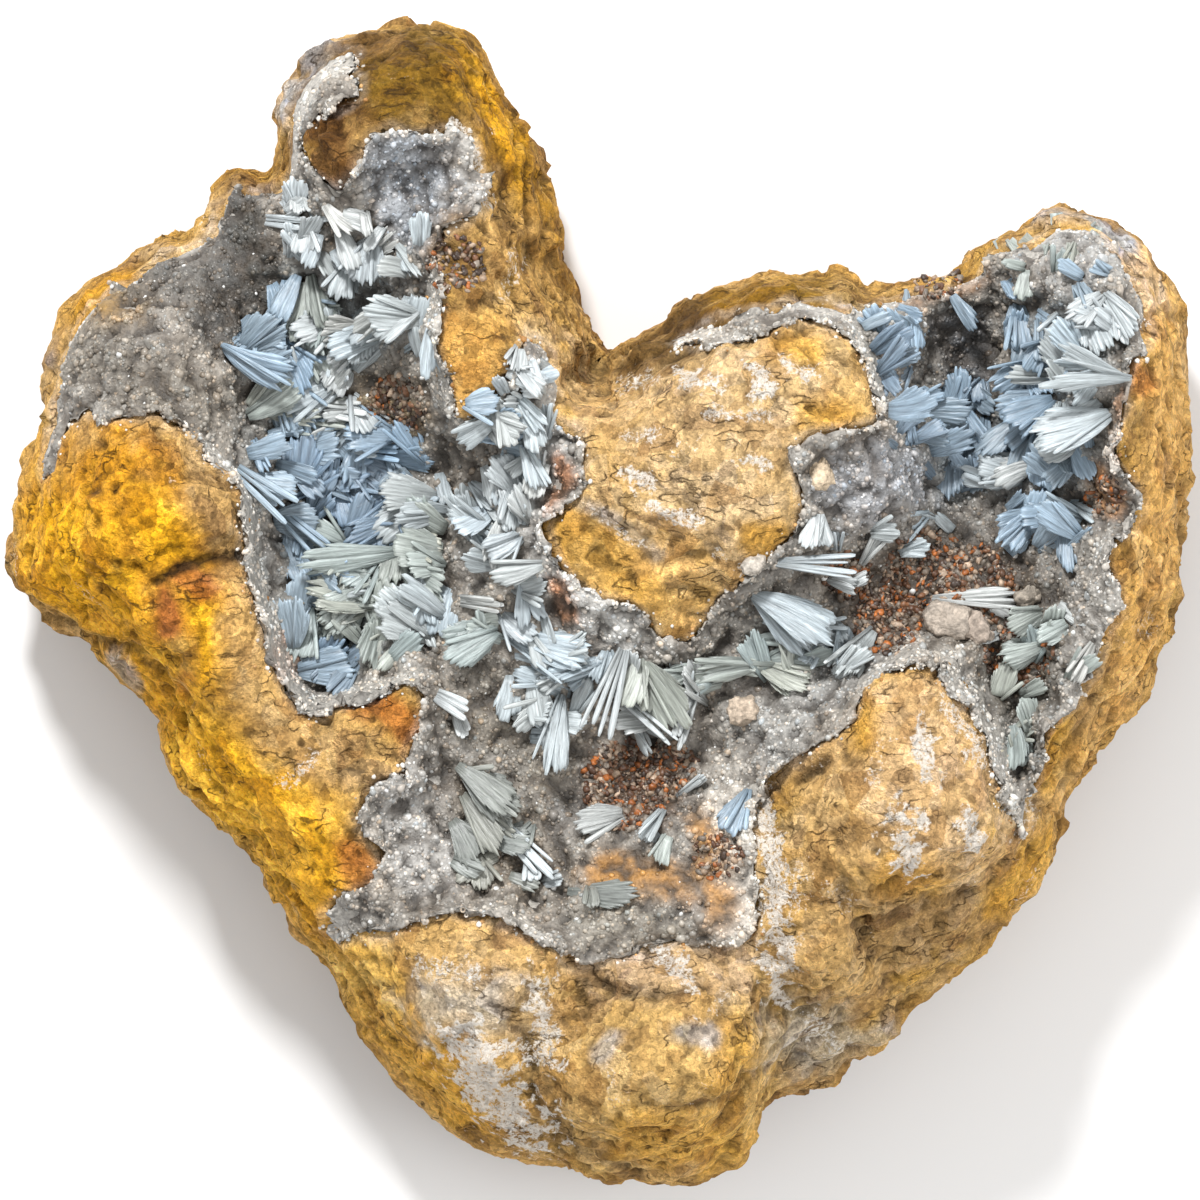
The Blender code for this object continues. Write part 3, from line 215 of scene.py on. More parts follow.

# What is only colour, painted in order: colour, strength, half width, then the points of a spot or stroke.
# A stroke of the dark crevice colour is painted shade in a crack, a pit or under a ledge, and is also a
# groove.
STONE_PAINT = [
    # the left lobe
    ("#DC9E2C", 0.95, 26, [(-100, 14), (-84, 8)]),
    (OCHRE, 0.85, 12, [(-114, 10), (-104, -2), (-94, -12), (-84, -24)]),
    (DUN, 0.85, 9, [(-78, 32), (-76, 20), (-72, 14)]),
    (TAN, 0.8, 9, [(-92, 37), (-104, 34)]),
    ("#C5891F", 0.95, 10, [(-98, 27), (-94, 25)]),
    (BROWN, 0.6, 3, [(-90, 25), (-89, 20)]),
    (YELLOW, 0.95, 6.5, [(-90, 18), (-85, 12)]),
    (YELLOW, 0.95, 6.0, [(-107, 16), (-106, 4)]),
    (YELLOW, 0.8, 4.5, [(-98, 12), (-94, 2)]),
    (YELLOW, 0.9, 4.0, [(-79, -1), (-77, -15)]),
    (TAN, 0.85, 6, [(-70, 4), (-70, -20)]),
    (MAROON, 0.8, 3.4, [(-86, 2), (-85, -5)]),
    (MAROON, 0.7, 3.0, [(-83, 6), (-78, 3)]),
    (MAROON, 0.7, 2.4, [(-82, -15), (-84, -21)]),
    (CREVICE_SHADE, 0.9, 1.3, [(-88, 4.5), (-82, 8), (-77, 9.2), (-69, 9.6)]),
    (CREVICE_SHADE, 0.6, 1.3, [(-116, 2), (-109, -3), (-99, -7), (-92, -9), (-87, -14), (-85, -20)]),
    (CREVICE_SHADE, 0.8, 1.6, [(-99, 32)]),
    (CREVICE_SHADE, 0.8, 1.3, [(-99.5, 22.6)]),
    (CREVICE_SHADE, 0.8, 1.1, [(-96, 23)]),
    (CREVICE_SHADE, 0.6, 1.6, [(-96, 8)]),
    (GREY, 0.7, 2.4, [(-97, -11), (-93, -16)]),
    # the band below it
    (OCHRE, 0.9, 12, [(-80, -26), (-68, -40), (-60, -52), (-52, -66)]),
    ("#F2B83C", 0.9, 10, [(-78, -30), (-60, -46)]),
    (YELLOW, 0.8, 5, [(-76, -28), (-66, -38)]),
    (TAN, 0.85, 8, [(-62, -24), (-42, -32)]),
    (RUST, 0.8, 5, [(-48, -16), (-38, -24)]),
    (RUST, 0.8, 4.5, [(-50, -50), (-44, -58)]),
    (YELLOW, 0.7, 3, [(-57, -43), (-54, -55)]),
    (BROWN, 0.5, 5, [(-74, -20), (-66, -28)]),
    # the lower left
    (GOLD, 0.85, 14, [(-46, -70), (-36, -84), (-24, -104)]),
    ("#DCAF58", 0.8, 9, [(-50, -72), (-40, -76)]),
    (TAN, 0.8, 8, [(-36, -68), (-8, -68)]),
    ("#BCAD94", 0.9, 8, [(-31, -80), (-14, -80)]),
    (BROWN, 0.6, 4, [(-26, -107), (-8, -108)]),
    # the round lump at the bottom
    ("#CBA566", 0.95, 27, [(8, -90), (14, -92)]),
    (GOLD, 0.7, 8, [(8, -106), (24, -108)]),
    (GOLD, 0.6, 5, [(28, -88), (26, -98)]),
    ("#BFA078", 0.7, 8, [(0, -72), (26, -72)]),
    (GREY, 0.7, 2.6, [(17, -85), (22, -86)]),
    (GREY, 0.6, 2.0, [(3, -86), (0, -90)]),
    (CREVICE_SHADE, 0.5, 1.4, [(-14, -86), (-13, -98), (-4, -108), (8, -114)]),
    (CREVICE_SHADE, 0.5, 1.2, [(2, -76), (12, -78), (22, -76)]),
    (CREVICE_SHADE, 0.45, 1.2, [(14, -100), (26, -98), (34, -92)]),
    # the lump at the lower right
    ("#CAA674", 0.95, 24, [(62, -28), (66, -46)]),
    (TAN, 0.8, 10, [(46, -50), (44, -38)]),
    (GOLD, 0.8, 4, [(52, -21), (53, -27)]),
    (GOLD, 0.7, 5, [(58, -54), (66, -56)]),
    (BROWN, 0.75, 3.4, [(49, -44), (55, -45)]),
    (CREVICE_SHADE, 0.6, 1.4, [(40, -35), (46, -31)]),
    (CREVICE_SHADE, 0.6, 2.2, [(53, -65), (61, -61), (68, -59), (75, -58)]),
    ("#A48252", 0.85, 8, [(58, -68), (76, -64)]),
    (GOLD, 0.85, 6, [(82, -58), (92, -48)]),
    (TAN, 0.8, 10, [(44, -66), (52, -76)]),
    ("#B7A98F", 0.8, 9, [(40, -86), (56, -92)]),
    # the right rim
    ("#E0AE62", 0.92, 9, [(100, -36), (108, -14), (115, 14), (116, 44), (110, 70)]),
    ("#CDB08A", 0.8, 6, [(104, 74), (110, 62)]),
    (RUST, 0.7, 3, [(107, 48), (109, 44)]),
    (BROWN, 0.6, 4.5, [(106, 36), (107, 26)]),
    (BROWN, 0.5, 3.5, [(101, -12), (96, -24)]),
    (GOLD, 0.8, 4, [(91, -26), (88, -34)]),
    # the tongue between the hollows
    (SAND, 0.95, 26, [(14, 38), (34, 38), (22, 22)]),
    ("#D4A24A", 0.85, 7, [(-6, 14), (4, 10), (10, 4)]),
    (TAN, 0.8, 8, [(4, 42), (2, 26)]),
    ("#DAAE68", 0.9, 8, [(14, 10), (20, 2)]),
    (GOLD, 0.8, 4, [(42, 38), (50, 37)]),
    (GOLD, 0.8, 4, [(31, 14), (37, 12)]),
    (GOLD, 0.8, 4, [(37, 52), (43, 50)]),
    ("#B99458", 0.7, 6, [(50, 50), (54, 42)]),
    (GREY, 0.45, 2, [(-3, 20), (4, 17), (12, 10)]),
    # the ridge behind it
    ("#604620", 0.95, 8, [(8, 52), (14, 56), (28, 62)]),
    ("#87611A", 0.95, 6, [(27, 62), (38, 63)]),
    ("#7F5D18", 0.95, 6.5, [(41, 65), (48, 64)]),
    ("#A8864E", 0.9, 6, [(51, 64), (55, 60)]),
    # the tower
    ("#5E4414", 0.95, 18, [(-46, 108), (-28, 104)]),
    ("#7A5A1A", 0.9, 8, [(-40, 104), (-32, 106)]),
    ("#A8791C", 0.95, 8, [(-22, 108), (-14, 86), (-10, 66)]),
    (YELLOW, 0.7, 3, [(-24, 104), (-18, 92)]),
    ("#B58F54", 0.85, 8, [(-16, 74), (-12, 60)]),
    (BROWN, 0.7, 4, [(-50, 112), (-42, 113)]),
    ("#6A4823", 0.95, 8, [(-54, 97), (-51, 84)]),
    (BROWN, 0.6, 3, [(-10, 92), (-10, 84)]),
    ("#8E6E40", 0.85, 6, [(-28, 74), (-26, 60)]),
    ("#C8964C", 0.95, 8, [(-26, 52), (-22, 42)]),
    (BROWN, 0.6, 2, [(-18, 50), (-17, 42)]),
    ("#C9A874", 0.8, 5, [(-12, 52), (-6, 47)]),
    (CREVICE_SHADE, 0.45, 1.4, [(-26, 104), (-20, 90), (-18, 76)]),
    # grey crust that reaches the outline
    ("#A9A8A6", 0.95, 5, [(84, 80), (92, 83), (100, 80), (105, 74)]),
    ("#979189", 0.95, 6, [(-118, 44), (-114, 54), (-108, 66)]),
    ("#928C85", 0.95, 6, [(-98, 72), (-88, 78), (-80, 86)]),
    ("#9A9A9A", 0.9, 4.5, [(-66, 98), (-62, 108), (-54, 115)]),
    # patches on the left shelf and the knob
    ("#C08A2A", 0.97, 7, [(-107, 60), (-96, 63)]),
    (BROWN, 0.9, 6, [(-76, 87), (-70, 86)]),
]

# White powder of quartz and calcite on the limonite: strength, half width, points.
POWDER = [
    (0.9, 2.6, [(65, -24), (66, -34)]), (0.7, 2.4, [(69, -19), (72, -24)]), (0.95, 4, [(60, -43), (62, -51)]),
    (0.9, 2.4, [(74, -43), (75, -47)]), (0.7, 1.8, [(75, -27), (75, -32)]), (0.5, 3, [(55, -34), (58, -27)]),
    (0.9, 2.2, [(17, 45), (24, 44)]), (0.9, 2.4, [(31, 47), (33, 44)]), (0.8, 2.0, [(38, 48), (42, 46)]),
    (0.8, 2.0, [(28, 29), (32, 28)]), (0.8, 2.4, [(6, 26), (11, 24)]), (0.7, 1.8, [(22, 38), (32, 38)]),
    (0.8, 1.8, [(11, 19), (20, 17)]), (0.7, 1.8, [(6, 34), (12, 34)]), (0.6, 2.4, [(10, 45), (6, 44)]),
    (0.5, 2.0, [(14, 30), (20, 32)]), (0.5, 1.6, [(24, 10), (30, 6)]), (0.6, 1.5, [(-2, 20), (8, 12)]),
    (0.95, 6, [(-26, -88), (-20, -98), (-12, -106)]), (0.8, 4, [(-12, -76), (-10, -90)]),
    (0.7, 3, [(-34, -72), (-24, -73)]), (0.8, 2.2, [(12, -69), (18, -75)]),
    (0.9, 2.6, [(34, -70), (37, -79)]),
    (0.5, 2.0, [(2, -92), (4, -98)]), (0.5, 2.0, [(20, -82), (26, -78)]), (0.6, 3, [(40, -52), (38, -62)]),
    (0.5, 2, [(47, -56), (50, -60)]), (0.6, 2.4, [(86, -40), (84, -46)]), (0.7, 3, [(42, -84), (52, -90)]),
    (0.8, 2.2, [(-27, 95), (-22, 80)]), (0.6, 2, [(-55, 100)]), (0.6, 2, [(-16, 70), (-18, 62)]),
    (0.9, 3.2, [(33, -40), (35, -52), (36, -62), (37, -72)]),
    (0.6, 1.6, [(-97, -11)]), (0.6, 2, [(-62, -36), (-56, -30)]), (0.4, 1.6, [(-104, -8), (-100, -9)]),
    (0.5, 2.2, [(84, -60), (88, -54)]), (0.5, 2.2, [(106, 62), (108, 56)]),
]

# The same for the quartz crust.
CRUST_PAINT = [
    ("#8B9598", 0.75, 14, [(-56, 60), (-56, 40), (-52, 20), (-50, 0)]),
    ("#8B979D", 0.75, 10, [(92, 52), (90, 34), (74, 30)]),
    ("#B98D3A", 0.97, 7, [(-104, 60), (-94, 62)]),
    ("#7A5A34", 0.9, 6, [(-76, 88), (-70, 87)]),
    ("#E2E0DB", 0.95, 7, [(-13, 44), (-10, 32), (-12, 18), (-5, 6), (4, -2)]),
    ("#C9C4BC", 0.8, 5, [(-20, 20), (-22, 8)]),
    ("#B5B4B0", 0.8, 8, [(34, -24), (44, -14), (52, -10)]),
    ("#BDB9B2", 0.8, 7, [(94, -20), (98, -8), (104, 4)]),
    ("#B9B8B5", 0.8, 10, [(88, 76), (98, 70)]),
    ("#C7C3BC", 0.8, 4, [(-28, 96), (-24, 84), (-22, 76)]),
    ("#504E4B", 0.95, 9, [(-74, 84), (-72, 66), (-76, 58)]),
    ("#45443F", 0.9, 5, [(-70, 76), (-68, 66)]),
    ("#66635E", 0.9, 11, [(-92, 66), (-84, 68)]),
    ("#8E877C", 0.9, 9, [(-104, 52), (-94, 46), (-82, 42)]),
    ("#B4B8BD", 0.95, 10, [(-40, 88), (-36, 80)]),
    ("#63656A", 0.4, 2.4, [(-40, 84), (-34, 88)]),
    ("#7E6A4C", 0.9, 6, [(-46, 42), (-38, 38)]),
    ("#8A6A40", 0.9, 6, [(-28, 74), (-26, 60)]),
    ("#C0BDB8", 0.9, 9, [(-40, -38), (-34, -50)]),
    ("#8A8275", 0.85, 8, [(-24, -20), (-10, -30)]),
    ("#857A6B", 0.85, 9, [(-24, -38), (-14, -50)]),
    ("#55402E", 0.95, 9, [(4, -36), (12, -36)]),
    ("#54483C", 0.95, 12, [(56, 0), (74, 6), (80, 2)]),
    ("#55402E", 0.8, 5, [(58, -2), (62, -6)]),
    ("#5B554B", 0.9, 9, [(84, -14), (84, -4)]),
    ("#C48E48", 0.97, 5, [(2, -53), (16, -55)]),
    ("#C48E48", 0.97, 5, [(22, -44), (26, -60)]),
    ("#E0D8CC", 0.95, 8, [(28, -40), (32, -50), (34, -66)]),
    ("#A0998C", 0.8, 6, [(0, -64), (12, -64)]),
    ("#B7B9BD", 0.85, 9, [(52, 22), (60, 26)]),
    ("#50555C", 0.8, 6, [(72, 56), (76, 46)]),
    ("#A8743C", 0.85, 5, [(64, 65), (74, 66)]),
    ("#A8743C", 0.8, 3.0, [(100, 26), (103, 20)]),
    ("#A06A36", 0.8, 3.0, [(104, 30), (106, 40)]),
    ("#A9682E", 0.85, 2.2, [(-8, 29), (-6, 25), (-9, 20)]),
    ("#B5702F", 0.8, 2.2, [(-8, 4), (-6, -2)]),
    ("#A8672E", 0.9, 3.4, [(-62, -8), (-63, -12)]),
]

# Larger broken pieces in the hollows: x, y, turn in degrees, side lengths and colour.
BLOCKS = [
    (29, -21, 4, (5.4, 4.8, 4.2), "#B9A895"), (70, -3, -12, (8.5, 6.5, 6), "#A89C8F"),
    (75.5, -5, 40, (5, 6, 5), "#A39588"), (44, 26, 20, (4.6, 5.2, 4), "#CDB99E"),
    (86, 1.5, 25, (4.5, 3.6, 4), "#9A9083"), (31, 8, 40, (4, 3, 3), "#B7AFA4"),
]

# Patches of loose red-brown grains: x, y, reach, and how many.
GRAVEL = [(6, -36, 9, 700), (14, -33, 6, 260), (58, -3, 7, 420), (66, 6, 9, 500), (76, 4, 8, 380),
          (84, -10, 7, 260), (50, 6, 5, 160), (-28, 68, 6, 150), (-40, 40, 6, 220), (24, -50, 5, 120),
          (68, 66, 5, 160), (101, 22, 4, 120)]
GRAVEL_COLOURS = ("#7C553A", "#573A28", "#A8622E", "#3B2C22", "#B39C86", "#75685B", "#8F7A66", "#694A35",
                  "#857A6E", "#4A3A30")

# The loose grains beside the crust: each colour and its share of them.
BORDER_COLOURS = {"#E6E2DA": 0.34, "#D2CCC2": 0.3, "#B9B1A5": 0.16, "#C79A62": 0.12, "#A7773F": 0.08}

# The blade's outline: how far along it, and how wide and how thick it is there.
BLADE_ALONG = (0, 0.4, 0.8, 0.94, 1.0)
BLADE_WIDE = (0.7, 0.95, 1.0, 0.86, 0.5)
BLADE_THICK = (0.8, 1.0, 0.8, 0.6, 0.3)

# Each lamp's place, its width in metres and its watts.
LAMPS = {"key": ((-0.35, 1.3, 1.5), 0.3, 43.0), "fill": ((1.4, -0.3, 1.3), 1.2, 14.0)}

# A Mix node that multiplies two colours.
MULTIPLIED = {"data_type": "RGBA", "blend_type": "MULTIPLY", 0: 1.0}


def linear(colour):
    """An sRGB hex colour as the linear values that Blender works in."""
    parts = [int(colour[i:i + 2], 16) / 255 for i in (1, 3, 5)]
    return [part / 12.92 if part <= 0.04045 else ((part + 0.055) / 1.055) ** 2.4 for part in parts]


def add_node(tree, kind, settings=None, links=None):
    """Adds a shader node, sets its properties and unlinked sockets, and joins its inputs to outputs."""
    made = tree.nodes.new("ShaderNode" + kind)
    for key, value in (settings or {}).items():
        if isinstance(key, str) and hasattr(made, key):
            setattr(made, key, value)
        else:
            made.inputs[key].default_value = value
    for key, source in (links or {}).items():
        tree.links.new(source, made.inputs[key])
    return made


def new_material(name):
    """An empty material and its node tree."""
    made = bpy.data.materials.new(name)
    made.use_nodes = True
    made.node_tree.nodes.clear()
    return made, made.node_tree


def work_on(piece):
    """Deselects everything else, so that an operator acts on this piece alone."""
    if bpy.context.mode != "OBJECT":
        bpy.ops.object.mode_set(mode="OBJECT")
    bpy.ops.object.select_all(action="DESELECT")
    piece.select_set(True)
    bpy.context.view_layer.objects.active = piece


def copy_of(node, name):
    """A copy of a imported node, with its loose triangles merged."""
    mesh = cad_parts[node].data.copy()
    mesh.name = name
    mesh.materials.clear()
    piece = bpy.data.objects.new(name, mesh)
    bpy.context.scene.collection.objects.link(piece)
    work_on(piece)
    bpy.ops.object.mode_set(mode="EDIT")
    bpy.ops.mesh.select_all(action="SELECT")
    bpy.ops.mesh.remove_doubles(threshold=1e-6)
    bpy.ops.object.mode_set(mode="OBJECT")
    return piece


def rows_of(items, key, width, kind=np.float32):
    """One property of a mesh's vertices, edges or corners, as the rows of an array."""
    found = np.empty(len(items) * width, kind)
    items.foreach_get(key, found)
    return found.reshape(-1, width)


def points_of(mesh):
    return rows_of(mesh.vertices, "co", 3).astype(float)


def normals_of(mesh):
    return rows_of(mesh.vertex_normals, "vector", 3).astype(float)


def edges_of(mesh):
    return rows_of(mesh.edges, "vertices", 2, np.int32)


def faces_of(mesh):
    """The vertices of each triangle of a mesh that has only triangles."""
    return rows_of(mesh.loops, "vertex_index", 1, np.int32).reshape(-1, 3)


def put_points(mesh, points):
    """Moves the vertices of a mesh."""
    mesh.vertices.foreach_set("co", points.astype(np.float32).ravel())
    mesh.update()


def refine(piece, wanted, rounds=8):
    """Subdivides every edge that is longer than the length wanted at its middle."""
    work_on(piece)
    mesh = piece.data
    bpy.context.tool_settings.mesh_select_mode = (False, True, False)
    for _ in range(rounds):
        points = points_of(mesh)
        ends = edges_of(mesh)
        middles = points[ends].mean(axis=1)
        lengths = np.linalg.norm(points[ends[:, 0]] - points[ends[:, 1]], axis=1)
        long = lengths > 1.35 * wanted(middles)
        if not long.any():
            break
        mesh.polygons.foreach_set("select", np.zeros(len(mesh.polygons), bool))
        mesh.vertices.foreach_set("select", np.zeros(len(mesh.vertices), bool))
        mesh.edges.foreach_set("select", long)
        bpy.ops.object.mode_set(mode="EDIT")
        bpy.ops.mesh.subdivide(number_cuts=1, ngon=False)
        bpy.ops.mesh.select_all(action="SELECT")
        bpy.ops.mesh.quads_convert_to_tris(quad_method="SHORTEST_DIAGONAL", ngon_method="BEAUTY")
        bpy.ops.object.mode_set(mode="OBJECT")


def smoothed(mesh, values, share, rounds, free=None):
    """Values at the vertices, each moved towards its neighbours' mean."""
    ends = edges_of(mesh)
    count = np.bincount(ends.ravel(), minlength=len(values)).astype(float)
    values = np.array(values, float)
    flat = values.ndim == 1
    values = values.reshape(len(values), -1)
    free = np.ones(len(values)) if free is None else free
    for _ in range(rounds):
        total = np.empty_like(values)
        for axis in range(values.shape[1]):
            column = values[:, axis]
            total[:, axis] = np.bincount(ends[:, 0], column[ends[:, 1]], len(values))
            total[:, axis] += np.bincount(ends[:, 1], column[ends[:, 0]], len(values))
        values = values + (share * free)[:, None] * (total / count[:, None] - values)
    return values[:, 0] if flat else values


def smoothstep(value):
    """Values held between 0 and 1, with a soft start and end."""
    value = np.clip(value, 0.0, 1.0)
    return value * value * (3 - 2 * value)


def spots_of(points, size, seed):
    """Points in metres as places in a noise whose features have a size in millimetres."""
    return (points / (size * MM) + np.array((seed * 7.31, seed * 3.77, seed * 5.13))).tolist()


def field(points, size, seed, octaves=1):
    """Smooth noise from about -1 to 1."""
    if octaves == 1:
        return np.array([noise.noise(spot) for spot in spots_of(points, size, seed)])
    return np.array([noise.fractal(spot, 0.9, 2.1, octaves) for spot in spots_of(points, size, seed)])


def knobs(points, size, seed):
    """Rounded knobs about a size apart: 1 at a knob's top, falling to 0 in the creases between them."""
    near = np.array([noise.voronoi(spot)[0][0] for spot in spots_of(points, size, seed)])
    return 1 - np.clip(near / 0.8, 0, 1) ** 2


def facets(points, size, seed):
    """A broken face in millimetres: each cell of scattered points is one flat, tilted face."""
    # Without a seed, Blender takes the vector noise from the clock.
    noise.seed_set(1)
    lift = np.empty(len(points))
    for index, spot in enumerate(spots_of(points, size, seed)):
        centre = noise.voronoi(spot)[1][0]
        lean = noise.noise_vector(centre * 5.3)
        lift[index] = lean.dot(Vector(spot) - centre)
    return lift * size


def distance_to(places, line):
    """Distance in the plane from each place to the nearest point of a line, or to its one point."""
    starts = np.array(line[:-1] or line, float)
    ends = np.array(line[1:] or line, float)
    best = np.full(len(places), 1e9)
    for start, end in zip(starts, ends):
        along = end - start
        share = np.clip((places - start) @ along / max(along @ along, 1e-9), 0, 1)
        gap = np.linalg.norm(places - start - share[:, None] * along, axis=1)
        best = np.minimum(best, gap)
    return best


def cover_of(places, ragged, strength, width, line):
    """How far a stroke covers each place, its edge made ragged by a noise."""
    return strength * smoothstep(1.3 - distance_to(places, line) / width + 0.5 * ragged)


def painted(points, base, strokes, seed):
    """Colours at the points: the base with each stroke laid over it."""
    places = points[:, :2] / MM
    ragged = field(points, 6.0, seed, 4)
    colours = np.array(base, float)
    for colour, strength, width, line in strokes:
        cover = cover_of(places, ragged, strength, width, line)
        colours += cover[:, None] * (np.array(linear(colour)) - colours)
    return colours


def sunken(mesh, points, rounds):
    """How far in millimetres each vertex lies below its surroundings, which more rounds make wider."""
    return ((smoothed(mesh, points, 0.6, rounds) - points) * normals_of(mesh)).sum(axis=1) / MM


def mixed(colours, colour, share):
    """Colours moved towards one colour, a hex value or a user's, by each one's share."""
    colour = linear(colour) if isinstance(colour, str) else colour
    return colours + share[:, None] * (np.array(colour) - colours)


def mottled(colours, points, colour, share, start, gain, size, seed):
    """Colours moved towards one colour in patches of a size in millimetres."""
    return mixed(colours, colour, share * smoothstep(start + gain * field(points, size, seed, 3)))


def put_tints(mesh, colours):
    """Gives each vertex its colour, in an attribute that is added the first time."""
    layer = mesh.color_attributes.get("tint") or mesh.color_attributes.new("tint", "FLOAT_COLOR", "POINT")
    values = np.ones((len(colours), 4), np.float32)
    values[:, :3] = colours
    layer.data.foreach_set("color", values.ravel())


def tree_of(mesh):
    """A mesh as a tree that rays can be cast at."""
    return BVHTree.FromPolygons(points_of(mesh).tolist(), faces_of(mesh).tolist())


def ground():
    """What grains, blocks and sprays stand on: the finished limonite and crust."""
    return [tree_of(bpy.data.objects[name].data) for name in ("limonite", "quartz_crust_surface")]


def standing(trees, x, y):
    """Height in metres of the highest surface over a place in millimetres, with its normal."""
    best = None
    for tree in trees:
        hit = tree.ray_cast(Vector((x * MM, y * MM, CASTING_HEIGHT)), Vector((0, 0, -1)))
        if hit[0] is not None and (best is None or hit[0].z > best[0]):
            best = (hit[0].z, hit[1])
    return best


def length_property(name, description, default, least=0.0):
    """A length that the user can change, with its default and least value in millimetres."""
    return FloatProperty(name=name, description=description, default=default * MM, min=least * MM,
                         unit="LENGTH")


def colour_property(name, description, colour):
    """A colour that the user can change, with its sRGB hex default."""
    return FloatVectorProperty(name=name, description=description, default=linear(colour), subtype="COLOR",
                               size=3, min=0.0, max=1.0)


class StoneSettings(bpy.types.PropertyGroup):
    lumps: length_property("Lumps", "Height of the lumps a centimetre or two wide", 1.4)
    ledges: length_property("Ledges", "Height of one step of the layered limonite", 1.6)
    grit: length_property("Grit", "Height of the earthy roughness", 0.35)
    edge: length_property("Mesh edge", "Edge length of the finished limonite", 1.27, 0.5)
    ochre: colour_property("Ochre", "Main colour of the limonite", "#BE954C")
    brown: colour_property("Brown", "Colour of its weathered patches", BROWN)
    powder: colour_property("Powder", "Colour of the white powder on it", "#EDE6DC")


class CrustSettings(bpy.types.PropertyGroup):
    edge: length_property("Mesh edge", "Edge length of the finished crust", 1.3, 0.5)
    point: length_property("Point radius", "Usual radius of a quartz point", 0.4, 0.1)
    bead: length_property("Bead radius", "Usual radius of a rounded quartz bead", 0.52, 0.1)
    points: IntProperty(name="Quartz points", description="How many quartz points stand on the crust",
                        default=24000, min=0)
    beads: IntProperty(name="Quartz beads", description="How many rounded beads stand among the points",
                       default=8500, min=0)
    grey: colour_property("Grey", "Main colour of the crust", "#9C978F")
    white: colour_property("White", "Colour of the crust along its edges", "#DAD5CC")


class GravelSettings(bpy.types.PropertyGroup):
    grain: length_property("Grain radius", "Usual radius of a loose grain", 0.55, 0.1)


class BariteSettings(bpy.types.PropertyGroup):
    blade: length_property("Blade width", "Width of a single barite blade", 0.9, 0.2)
    thick: length_property("Fan thickness", "Thickness of one fan of blades", 1.0, 0.2)
    pale: colour_property("Pale", "Colour of the palest grey fans", TINTS["pale"])
    blue: colour_property("Blue", "Colour of the blue fans", TINTS["blue"])
    deep: colour_property("Deep blue", "Colour of the bluest fans", TINTS["deep"])
    green: colour_property("Green grey", "Colour of the greenish grey fans", TINTS["green"])
    white: colour_property("White", "Colour of the whitest fans", TINTS["white"])
    dull: colour_property("Dull grey", "Colour of the dullest fans", TINTS["dull"])


class StageSettings(bpy.types.PropertyGroup):
    light: FloatProperty(name="Studio light", description="Strength of the light from all around",
                         default=0.78, min=0.0)
    floor: colour_property("Floor", "Colour of the floor", "#EEEEEE")


